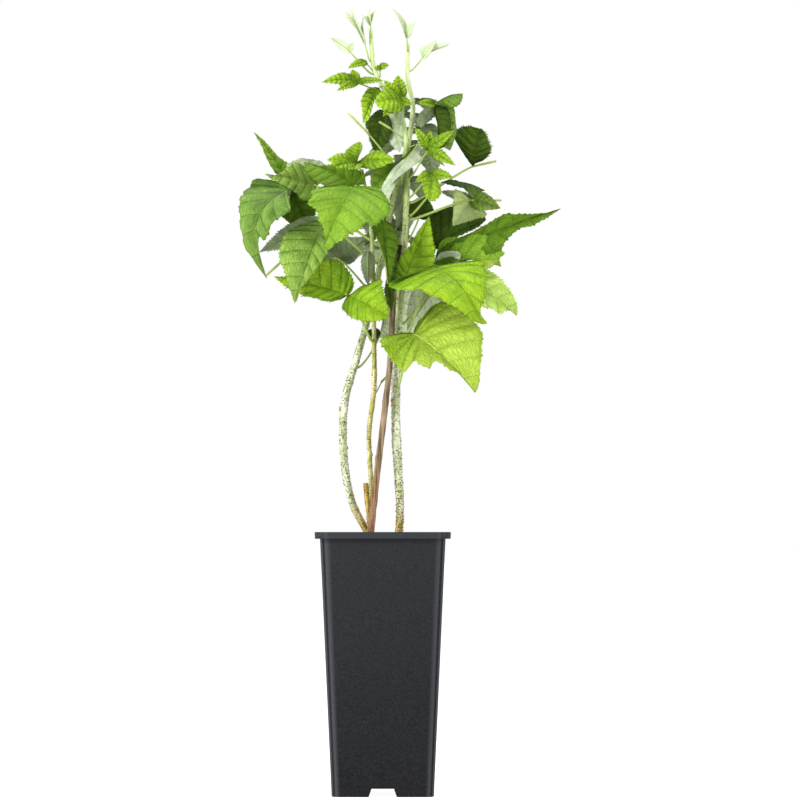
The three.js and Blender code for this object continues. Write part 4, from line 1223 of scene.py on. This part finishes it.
def blade(key, joint, tip, width, roll, arch, seed, fold=FOLD, quilt=1.0, wave=1.0, teeth=1.0):
    """One leaflet's blade, and the line of its midrib."""
    deal = np.random.default_rng(seed)
    length = (tip - joint).length
    directions = leaflet_frame(joint, tip, roll)
    grid = grids[FINE if length > LARGE else COARSE]
    rows_per_vein, row = grid["rows_per_vein"], grid["row"]
    rows = VEINS * rows_per_vein
    across, along = grid["across"], grid["along"]
    share, side = np.abs(across), (across > 0).astype(int)
    edge = both_margins(key, joint, directions, length, width, arch, fold, rows)
    # Where the rows leave the midrib.
    rooted = np.clip((edge[:, :, 0] - VEIN_SLANT * edge[:, :, 1]) / length, 0, 1)
    rooted = np.maximum.accumulate(rooted, axis=1).mean(axis=0)
    even = np.linspace(0, 1, rows + 1)
    rooted = (1 - VEINS_EVENED) * rooted + VEINS_EVENED * even
    # The teeth, each of its own size, along the line of their vein. They are small at both ends.
    sizes = deal.uniform(*TOOTH_SIZES, (2, rows + 1))
    sizes *= np.tile(TEETH[rows_per_vein], VEINS + 1)[:rows + 1]
    sizes *= teeth * min(LEAST_TOOTH + TOOTH_SHARE * length, MOST_TOOTH)
    sizes *= np.minimum(1, GROWN_FROM_FOOT * even)
    sizes *= np.minimum(1, GROWN_FROM_TIP * (1 - even)) ** TIP_EASE
    runs = edge[:, :, :2] - np.stack([rooted * length, 0 * rooted], axis=1)
    runs = runs / np.maximum(np.linalg.norm(runs, axis=2), 1)[:, :, None]
    tooth = (runs * sizes[:, :, None])[side, row]
    x_root = rooted[row] * length
    x_edge = edge[side, row, 0]
    half = np.maximum(edge[side, row, 1], LEAST_HALF) + FOOT_EXTRA * (1 - even[row])
    x = x_root + share * (x_edge - x_root) + tooth[:, 0] * share ** TOOTH_EDGE
    x -= VEIN_CURVE * half * share * (1 - share)
    y = share * half + tooth[:, 1] * share ** TOOTH_EDGE
    # The height out of the flat blade.
    in_strip = np.abs(np.sin(np.pi * along * VEINS)) ** PLEAT_FULLNESS
    spacing = np.linalg.norm(np.gradient(edge[:, :, :2], axis=1), axis=2)[side, row] * rows_per_vein
    pleat = quilt * PLEAT * spacing * in_strip
    pleat *= np.minimum(1, share / PLEAT_FROM_MIDRIB) * np.minimum(1, PLEAT_FROM_TIP * (1 - along))
    cycles, start = deal.uniform(*RIPPLES), deal.uniform(*RIPPLE_STARTS)
    ripple = wave * RIPPLE * half * share ** 2 * np.sin(2 * np.pi * cycles * along + start + 2 * side)
    folded = fold * y * (FOLD_STEEP - FOLD_EASE * share)
    face = np.where(grid["upper"], 0.5, -0.5) * BLADE_THICKNESS
    z = arch_height(x, length, arch) + folded + pleat + ripple + face
    points = laid_out(joint, directions, x, z, np.where(side == 1, y, -y))
    part = {"points": points, "faces": grid["faces"], "uvs": grid["uvs"], "slots": grid["slots"]}
    run = np.linspace(0, RIB_END, RIB_POINTS) * length
    rib = laid_out(joint, directions, run, arch_height(run, length, arch) - RIB_SINK, 0 * run)
    return part, rib


# %% [markdown]
# ## Leaf stalks
# A leaf stalk leaves its cane squarely, 0.3 mm clear of it as the CAD solid does, and swings round into
# the line of its first leaflet. Its line is a Bezier curve. A thin rib carries it on under each blade.

# %% Leaf stalks
STALK_END = 4
STALK_POINTS = 25
FOOT_BOW, JOINT_BOW = 0.14, 0.16
BARE = 3
# Each radius has a least value, what every millimetre of length adds to it, and a greatest value.
STALK_RADIUS, RIB_RADIUS = (0.5, 0.012, 1.25), (0.25, 0.006, 0.8)
STALK_TAPER, RIB_TAPER = (1.15, 0.8), (1, 0.2)
RIB_SIDES, BARE_POINTS = 6, 6
# What sets the young kinds apart: the depth of their quilting, their teeth and their waves.
KIND_SHAPES = {"pale": {"quilt": 0.2, "teeth": 0.4, "wave": 0.4}, "tender": {"quilt": 2.6}}


def stalk_line(footing, joint, towards):
    """Points along a leaf stalk, from its cane to just past the joint."""
    point, along, radius = footing
    away = joint - point
    away -= along * away.dot(along)
    away /= np.linalg.norm(away)
    foot = point + away * (radius + CLEAR)
    reach = np.linalg.norm(joint - foot)
    a, b = foot + away * FOOT_BOW * reach, joint - towards * JOINT_BOW * reach
    end = joint + towards * STALK_END
    t = np.linspace(0, 1, STALK_POINTS)[:, None]
    return foot * (1 - t) ** 3 + 3 * a * t * (1 - t) ** 2 + 3 * b * t ** 2 * (1 - t) + end * t ** 3


def radius_for(length, rule):
    """The radius of a stalk or rib of a length."""
    least, growth, most = rule
    return min(most, least + growth * length)


def grow(row, blades, stalks, pair_back, seed, shape):
    """Adds one compound leaf: its blades by kind, and its stalk and ribs."""
    name, cane_name, height, joint_at, kind, leaflets = row
    joint = Vector(joint_at)
    first = leaflets[0]
    along, upper, _ = leaflet_frame(joint, Vector(first[:3]), first[4])
    towards = np.array((along + upper * math.pi * first[5]).normalized())
    line = stalk_line(cane_at(cane_name, height), np.array(joint), towards)
    reach = np.linalg.norm(line[-1] - line[0])
    stalks.append(tube_along(line, radius_for(reach, STALK_RADIUS) * np.linspace(*STALK_TAPER, len(line))))
    gone = np.cumsum(np.linalg.norm(np.diff(line, axis=0), axis=1))
    pair = int(np.searchsorted(gone, gone[-1] - pair_back - STALK_END))
    pair_joint = Vector(line[pair + 1])
    for number, (*tip, width, roll, arch) in enumerate(leaflets):
        start = joint if number == 0 else pair_joint
        if width < BARE:
            bare = np.linspace(np.array(start), np.array(tip), BARE_POINTS)
            stalks.append(tube_along(bare, np.full(BARE_POINTS, width / 2)))
            continue
        if (name, number) in DRAWN_IN_ONE:
            continue
        details = dict(shape.get((name, number), {}))
        part_kind = details.pop("kind", kind)
        details = {**KIND_SHAPES.get(part_kind, {}), **details}
        part, rib = blade((name, number), start, Vector(tip), width, roll, arch, seed + number, **details)
        blades.setdefault(part_kind, []).append(part)
        radii = radius_for((Vector(tip) - start).length, RIB_RADIUS) * np.linspace(*RIB_TAPER, len(rib))
        stalks.append(tube_along(rib, radii, RIB_SIDES))


# %% Growing all the leaves
# What sets single leaflets apart: the depth of their quilting, their fold, their teeth or their colour.
SHAPES = {
    ("leaf_low_right", 0): {"quilt": 1.1, "fold": 0.1},
    ("leaf_mid_right", 0): {"kind": "fresh", "fold": 0.1},
    ("leaf_mid_right", 2): {"fold": 0.0, "quilt": 0.4},
    ("leaf_pale_right", 0): {"quilt": 0.7},
    # Painted light: felt makes this underside in shade paler.
    ("leaf_pale_right", 2): {"kind": "felt"},
    ("leaf_long_right", 0): {"quilt": 1.2, "teeth": 0.7},
    ("leaf_long_right", 1): {"quilt": 0.6, "kind": "green"},
    ("leaf_long_right", 2): {"kind": "silver", "fold": -0.5, "wave": 0.3},
    ("leaf_front", 0): {"quilt": 0.7, "fold": 0.12, "teeth": 1.4},
    ("leaf_front", 1): {"kind": "deep"},
    ("leaf_quilted", 0): {"quilt": 1.2},
    ("leaf_far_left", 0): {"quilt": 1.3, "teeth": 0.6, "wave": 0.3},
    ("leaf_far_left", 1): {"quilt": 0.8, "teeth": 0.45, "kind": "green"},
    ("leaf_upper_left", 0): {"quilt": 0.8, "fold": 0.1},
    ("leaf_low_left", 0): {"quilt": 1.4, "teeth": 1.5},
    ("leaf_low_left", 1): {"kind": "fresh", "teeth": 1.5},
    ("leaf_silver", 0): {"kind": "silver", "teeth": 0.3, "wave": 0.3},
    ("leaf_silver", 2): {"kind": "silver", "teeth": 0.3, "wave": 0.3},
    ("leaf_top_dark", 1): {"kind": "silver"},
    ("leaf_olive_right", 0): {"kind": "meadow"},
    ("leaf_olive_right", 1): {"kind": "lime"},
    ("leaf_far_right", 1): {"teeth": 2.4, "quilt": 2.4, "fold": 0.1},
    ("leaf_far_left", 2): {"kind": "deep"},
    ("leaf_folded", 1): {"kind": "dark"},
    # Painted light: felt makes this underside in shade paler.
    ("leaf_low_grey", 0): {"kind": "felt"},
    ("leaf_low_grey", 1): {"kind": "dark"},
    ("leaf_curled_right", 2): {"kind": "dark"},
    ("leaf_curled_right", 3): {"kind": "tender"},
    ("leaf_curled_right", 4): {"kind": "meadow", "teeth": 0.4, "quilt": 0.5},
    ("leaf_young_right", 4): {"kind": "dark"},
}
SEED_STEP, BACK_SEED = 100, 5000
blades, stalks = {}, []
for number, row in enumerate(LEAVES):
    grow(row, blades, stalks, 0, SEED_STEP * number, SHAPES)
for number, row in enumerate(back_leaves):
    grow(row, blades, stalks, BACK_LEAVES["pair_back"], BACK_SEED + SEED_STEP * number, SHAPES)
for kind, parts in blades.items():
    nodes = [row[0] for row in LEAVES + back_leaves if row[4] == kind and not row[0].startswith("stalk")]
    piece_of(f"blades_{kind}", parts, blade_materials[kind], nodes)
bare_stalks = [row[0] for row in LEAVES if row[0].startswith("stalk")]
piece_of("leaf_stalks", stalks, [leaf_stalk_skin], bare_stalks)

# %% [markdown]
# ## The pot
# A nursery pot is a tapered square box with a lip, a raised floor, and a skirt with a notch in each side
# that lets water out. Here one ring of a rounded square is lofted through the sizes that it has on its
# way: down inside the skirt, up the outside, round the lip and down the inside to the floor. Its first
# ring is filled as the underside, and its last as the floor.

# %% Sizes of the pot
POT_HEIGHT = 261
RIM_WIDTH = 134.5
RIM_DEPTH = 6.7
BODY_TOP, BODY_FOOT = 124.5, 101
POT_WALL, SKIRT_WALL = 1.8, 2.6
BASE_HEIGHT, BASE_THICKNESS = 12, 2
LEDGE = 2
CORNER, RIM_CORNER = 11, 14
NOTCH_TOP, NOTCH_FOOT, NOTCH_HEIGHT = 22, 28, 8.2
DRAIN_RADIUS, DRAIN_SPACING = 4, 26
MOULD_LINE = 9.6
RING_POINTS = 40
# The notch cutters go on below the foot, and are as much wider there as their slope makes them.
CUT_BELOW, CUT_WIDER, CUT_THROUGH = 1, 0.4, 9
DRILL_LENGTH, DRILL_SIDES = 6, 20
SHARP_EDGE = math.radians(35)


def body_width(height):
    """The outside width of the pot's body at a height."""
    return BODY_FOOT + (BODY_TOP - BODY_FOOT) * height / POT_HEIGHT


def rounded_square(width, corner, height):
    """Points round a square with rounded corners, evenly dealt to its four corners."""
    points = []
    for turn in range(4):
        for step in range(RING_POINTS // 4):
            angle = math.pi / 2 * (turn + step / (RING_POINTS // 4 - 1))
            centre = width / 2 - corner
            middle = math.pi / 2 * (turn + 0.5)
            x = centre * math.copysign(1, math.cos(middle)) + corner * math.cos(angle)
            y = centre * math.copysign(1, math.sin(middle)) + corner * math.sin(angle)
            points.append((x, y, height))
    return points


# %% The pot's wall
# Width, corner radius and height of each ring, from the underside down the skirt, up and over to the floor.
FLOOR_TOP = BASE_HEIGHT + BASE_THICKNESS
inside_top = body_width(POT_HEIGHT) - 2 * POT_WALL
inside_foot = body_width(FLOOR_TOP) - 2 * POT_WALL
skirt_inside = body_width(0) - 2 * SKIRT_WALL
POT_RINGS = [
    (skirt_inside - 2, 5.4, BASE_HEIGHT), (skirt_inside + 0.2, 6.2, BASE_HEIGHT - 1),
    (skirt_inside, 6.2, 0.4), (skirt_inside + 0.8, 6.6, 0),
    (body_width(0) - 1.0, 8.4, 0), (body_width(0.5), 8.9, 0.5),
    (body_width(MOULD_LINE) - 0.05, 9.2, MOULD_LINE - 0.3), (body_width(MOULD_LINE) - 0.5, 9.0, MOULD_LINE),
    (body_width(MOULD_LINE), 9.2, MOULD_LINE + 0.3), (body_width(120), 10.1, 120),
    (body_width(250), CORNER, 250), (body_width(258.4), CORNER, 258.4),
    (body_width(259) + 0.8, CORNER + 0.4, POT_HEIGHT - LEDGE),
    (RIM_WIDTH - 2 * POT_WALL - 0.8, RIM_CORNER - 2.2, POT_HEIGHT - LEDGE),
    (RIM_WIDTH - 2 * POT_WALL, RIM_CORNER - 1.8, POT_HEIGHT - LEDGE - 0.4),
    (RIM_WIDTH - 2 * POT_WALL - 0.4, RIM_CORNER - 2, POT_HEIGHT - RIM_DEPTH),
    (RIM_WIDTH - 1.3, RIM_CORNER - 0.4, POT_HEIGHT - RIM_DEPTH),
    (RIM_WIDTH - 0.6, RIM_CORNER, POT_HEIGHT - RIM_DEPTH + 0.4),
    (RIM_WIDTH, RIM_CORNER, POT_HEIGHT - 0.9), (RIM_WIDTH - 0.5, RIM_CORNER - 0.2, POT_HEIGHT - 0.25),
    (RIM_WIDTH - 1.8, RIM_CORNER - 0.9, POT_HEIGHT),
    (inside_top + 1.4, CORNER - 1, POT_HEIGHT), (inside_top + 0.2, CORNER - 1.6, POT_HEIGHT - 0.5),
    (inside_top - 0.2, CORNER - 1.8, POT_HEIGHT - 2), (inside_foot + 0.4, 7, FLOOR_TOP + 1.2),
    (inside_foot - 2, 6, FLOOR_TOP),
]


def lofted(rings):
    """A closed bmesh that runs through rounded squares, with its first and last ring filled."""
    bm = bmesh.new()
    loops = [[bm.verts.new(point) for point in rounded_square(*ring)] for ring in rings]
    for low, high in zip(loops, loops[1:]):
        for i in range(RING_POINTS):
            bm.faces.new((low[i - 1], low[i], high[i], high[i - 1]))
    for loop in (loops[0], loops[-1]):
        bm.faces.new(loop)
    return bm


def mesh_object(name, bm):
    """A bmesh as an object of its own, in metres."""
    bmesh.ops.recalc_face_normals(bm, faces=bm.faces)
    bmesh.ops.translate(bm, verts=bm.verts, vec=(PLANT_SHIFT_X, 0, 0))
    bmesh.ops.scale(bm, verts=bm.verts, vec=(MM, MM, MM))
    mesh = bpy.data.meshes.new(name)
    bm.to_mesh(mesh)
    bm.free()
    return add_object(name, mesh)


# %% The pot, and the cutters for its notches and drain holes
# The wall is lofted as one closed skin. The notches and holes are then cut by a Boolean.
pot = mesh_object("moulded_pot", lofted(POT_RINGS))

cutter_bm = bmesh.new()
for side in range(4):
    turn = side * math.pi / 2
    made = bmesh.ops.create_cube(cutter_bm, size=1)["verts"]
    for vert in made:
        half = NOTCH_TOP / 2 if vert.co.z > 0 else NOTCH_FOOT / 2 + CUT_WIDER
        x = math.copysign(half, vert.co.x)
        y = BODY_FOOT / 2 + CUT_THROUGH * vert.co.y
        z = NOTCH_HEIGHT if vert.co.z > 0 else -CUT_BELOW
        vert.co = (x * math.cos(turn) - y * math.sin(turn), x * math.sin(turn) + y * math.cos(turn), z)
for column in (-1, 0, 1):
    for line in (-1, 0, 1):
        made = bmesh.ops.create_cone(
            cutter_bm, cap_ends=True, segments=DRILL_SIDES,
            radius1=DRAIN_RADIUS, radius2=DRAIN_RADIUS, depth=DRILL_LENGTH,
        )["verts"]
        centre = (column * DRAIN_SPACING, line * DRAIN_SPACING, BASE_HEIGHT + BASE_THICKNESS / 2)
        bmesh.ops.translate(cutter_bm, verts=made, vec=centre)
cutter = mesh_object("cutter", cutter_bm)
cut = pot.modifiers.new("cut", "BOOLEAN")
cut.object = cutter
cut.operation = "DIFFERENCE"
cut.solver = "MANIFOLD"
bpy.context.view_layer.update()
evaluated = pot.evaluated_get(bpy.context.evaluated_depsgraph_get())
finished = bpy.data.meshes.new_from_object(evaluated)
pot.modifiers.clear()
pot.data = finished
bpy.data.objects.remove(cutter)
finished.materials.clear()
finished.materials.append(polypropylene)
finished.shade_smooth()
finished.set_sharp_from_angle(angle=SHARP_EDGE)
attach(pot, "root")
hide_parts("pot")
print("pot:", len(finished.polygons), "faces")

# %% [markdown]
# ## The compost
# The compost is a block that fills the pot to a finger's breadth below its rim. Its top is uneven and
# heaped a little round the canes. Crumbs and bark chips lie on it.

# %% The compost
SOIL_GRID = 70
SOIL_FOOT = FLOOR_TOP + CLEAR
# Width, height and pattern of the large and the small lumps.
LUMPS = [(9, 1.6, 0), (3, 0.9, 5)]
HEAP, HEAP_REACH = 2.0, 30
SUNK = 2.2
soil_half = body_width(SOIL_TOP) / 2 - POT_WALL - CLEAR
soil_foot_half = body_width(SOIL_FOOT) / 2 - POT_WALL - CLEAR


def soil_height(x, y):
    """The compost's surface above a point."""
    lumps = sum(noise.noise(Vector((x / wide, y / wide, pattern))) * high for wide, high, pattern in LUMPS)
    heap = HEAP * math.exp(-((x * x + y * y) / HEAP_REACH ** 2))
    return SOIL_TOP - SUNK + lumps + heap


def in_corner(x, y, half, corner):
    """A point of a square, drawn in where the square's corner is rounded."""
    inner = half - corner
    over_x, over_y = abs(x) - inner, abs(y) - inner
    if over_x <= 0 or over_y <= 0:
        return x, y
    draw = max(over_x, over_y) / math.hypot(over_x, over_y)
    return math.copysign(inner + over_x * draw, x), math.copysign(inner + over_y * draw, y)


soil_bm = bmesh.new()
bmesh.ops.create_grid(soil_bm, x_segments=SOIL_GRID, y_segments=SOIL_GRID, size=soil_half)
for vert in soil_bm.verts:
    x, y = in_corner(vert.co.x, vert.co.y, soil_half, CORNER - POT_WALL)
    vert.co = (x, y, soil_height(x, y))
border = [e for e in soil_bm.edges if e.is_boundary]
walls = bmesh.ops.extrude_edge_only(soil_bm, edges=border)["geom"]
shrink = soil_foot_half / soil_half
for vert in (v for v in walls if isinstance(v, bmesh.types.BMVert)):
    vert.co = (vert.co.x * shrink, vert.co.y * shrink, SOIL_FOOT)
open_edges = [e for e in walls if isinstance(e, bmesh.types.BMEdge) and e.is_boundary]
bmesh.ops.edgeloop_fill(soil_bm, edges=open_edges)
bmesh.ops.recalc_face_normals(soil_bm, faces=soil_bm.faces)
piece_of("compost_block", [part_of(soil_bm)], [compost], ["soil"])

# %% Crumbs and bark chips
CRUMBS, CHIP_EVERY, CRUMB_SEED = 900, 6, 21
BARE_BORDER = 3
# Each pair is a range that is dealt from.
CRUMB_SIZES, CRUMB_LUMPS, CRUMB_TILTS, CRUMB_TURNS = (0.5, 1.9), 0.25, (-0.4, 0.4), (0, 6.3)
CRUMB_STRETCH = (1, 0.9, 0.8)
CHIP_LENGTHS, CHIP_WIDTHS, CHIP_THICKNESS = (1.5, 3), (0.8, 1.4), 0.5
PROUD = 0.25
crumb_bm = bmesh.new()
bmesh.ops.create_icosphere(crumb_bm, subdivisions=1, radius=1)
crumb = part_of(crumb_bm)
deal = random.Random(CRUMB_SEED)
crumb_parts, chip_parts = [], []
for number in range(CRUMBS):
    x, y = (deal.uniform(-1, 1) * (soil_half - BARE_BORDER) for _ in range(2))
    size = deal.uniform(*CRUMB_SIZES)
    stretch = CRUMB_STRETCH
    is_chip = number % CHIP_EVERY == 0
    if is_chip:
        stretch = (deal.uniform(*CHIP_LENGTHS), deal.uniform(*CHIP_WIDTHS), CHIP_THICKNESS)
    lumpy = 1 + CRUMB_LUMPS * np.array([[deal.uniform(-1, 1)] for _ in crumb["points"]])
    direction = (deal.uniform(*CRUMB_TILTS), deal.uniform(*CRUMB_TILTS), 1)
    points = turned_to(crumb["points"] * lumpy * size * stretch, direction, deal.uniform(*CRUMB_TURNS))
    points = points + (x, y, soil_height(x, y) + size * PROUD)
    (chip_parts if is_chip else crumb_parts).append({"points": points, "faces": crumb["faces"]})
piece_of("compost_crumbs", crumb_parts, [compost], smooth=False)
piece_of("bark_chips", chip_parts, [bark_chip], smooth=False)

# %% [markdown]
# ## Stage and light
# A pale floor that runs out of sight, a white surround, and soft square lamps that look at the plant's
# middle: a key from the upper left, a fill from the right, one from above, and one at each side that
# lights the pot's edges.

# %% Stage and light
FLOOR_RADIUS, FLOOR_SIDES, FLOOR_GLOW = 30, 96, 0.95
PLANT_MIDDLE = Vector((0, 0, 0.45))
# Name, place and size in metres, and power in watts.
LAMPS = [
    ("key", (-2.0, -2.0, 2.1), 0.8, 84), ("fill", (2.0, -1.8, 1.0), 1.2, 12),
    ("top", (0.2, 0.6, 2.6), 1.2, 40), ("left_edge", (-2.2, -1.0, 0.4), 0.5, 40),
    ("right_edge", (2.2, -1.0, 0.4), 0.5, 24),
]
floor_bm = bmesh.new()
bmesh.ops.create_circle(floor_bm, cap_ends=True, segments=FLOOR_SIDES, radius=FLOOR_RADIUS)
floor_mesh = bpy.data.meshes.new("floor")
floor_bm.to_mesh(floor_mesh)
floor_bm.free()
floor = add_object("floor", floor_mesh)
paper, tree, surface = new_material("studio_paper", Roughness=0.9, Specular_IOR_Level=0.1)
glow = {"Emission Color": linear("#ffffff"), "Emission Strength": FLOOR_GLOW}
feed(tree, surface, {"Base Color": linear("#7c7c7c"), **glow})
floor_mesh.materials.append(paper)
floor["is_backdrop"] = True

world = bpy.data.worlds.new("studio")
bpy.context.scene.world = world
world.use_nodes = True
feed(world.node_tree, world.node_tree.nodes["Background"], {"Color": (1, 1, 1, 1), "Strength": 1.0})
for name, place, size, power in LAMPS:
    lamp_data = bpy.data.lights.new(name, "AREA")
    lamp_data.shape = "SQUARE"
    lamp_data.size = size
    lamp_data.energy = power
    lamp = add_object(name, lamp_data)
    lamp.location = place
    lamp.rotation_euler = (PLANT_MIDDLE - lamp.location).to_track_quat("-Z", "Y").to_euler()
bpy.context.scene.view_settings.view_transform = "Standard"
bpy.context.scene.view_settings.gamma = 0.88
print(len(LAMPS), "lamps")

# %% [markdown]
# ## Sizes and finish
# The box of the finished plant is printed beside the CAD model's box.

new_low, new_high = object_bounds()
sizes = {"cad": [list(cad_low), list(cad_high)], "visual": [list(new_low), list(new_high)]}
for label, (low, high) in sizes.items():
    print(label, [round(v / MM, 1) for v in low], [round(v / MM, 1) for v in high])
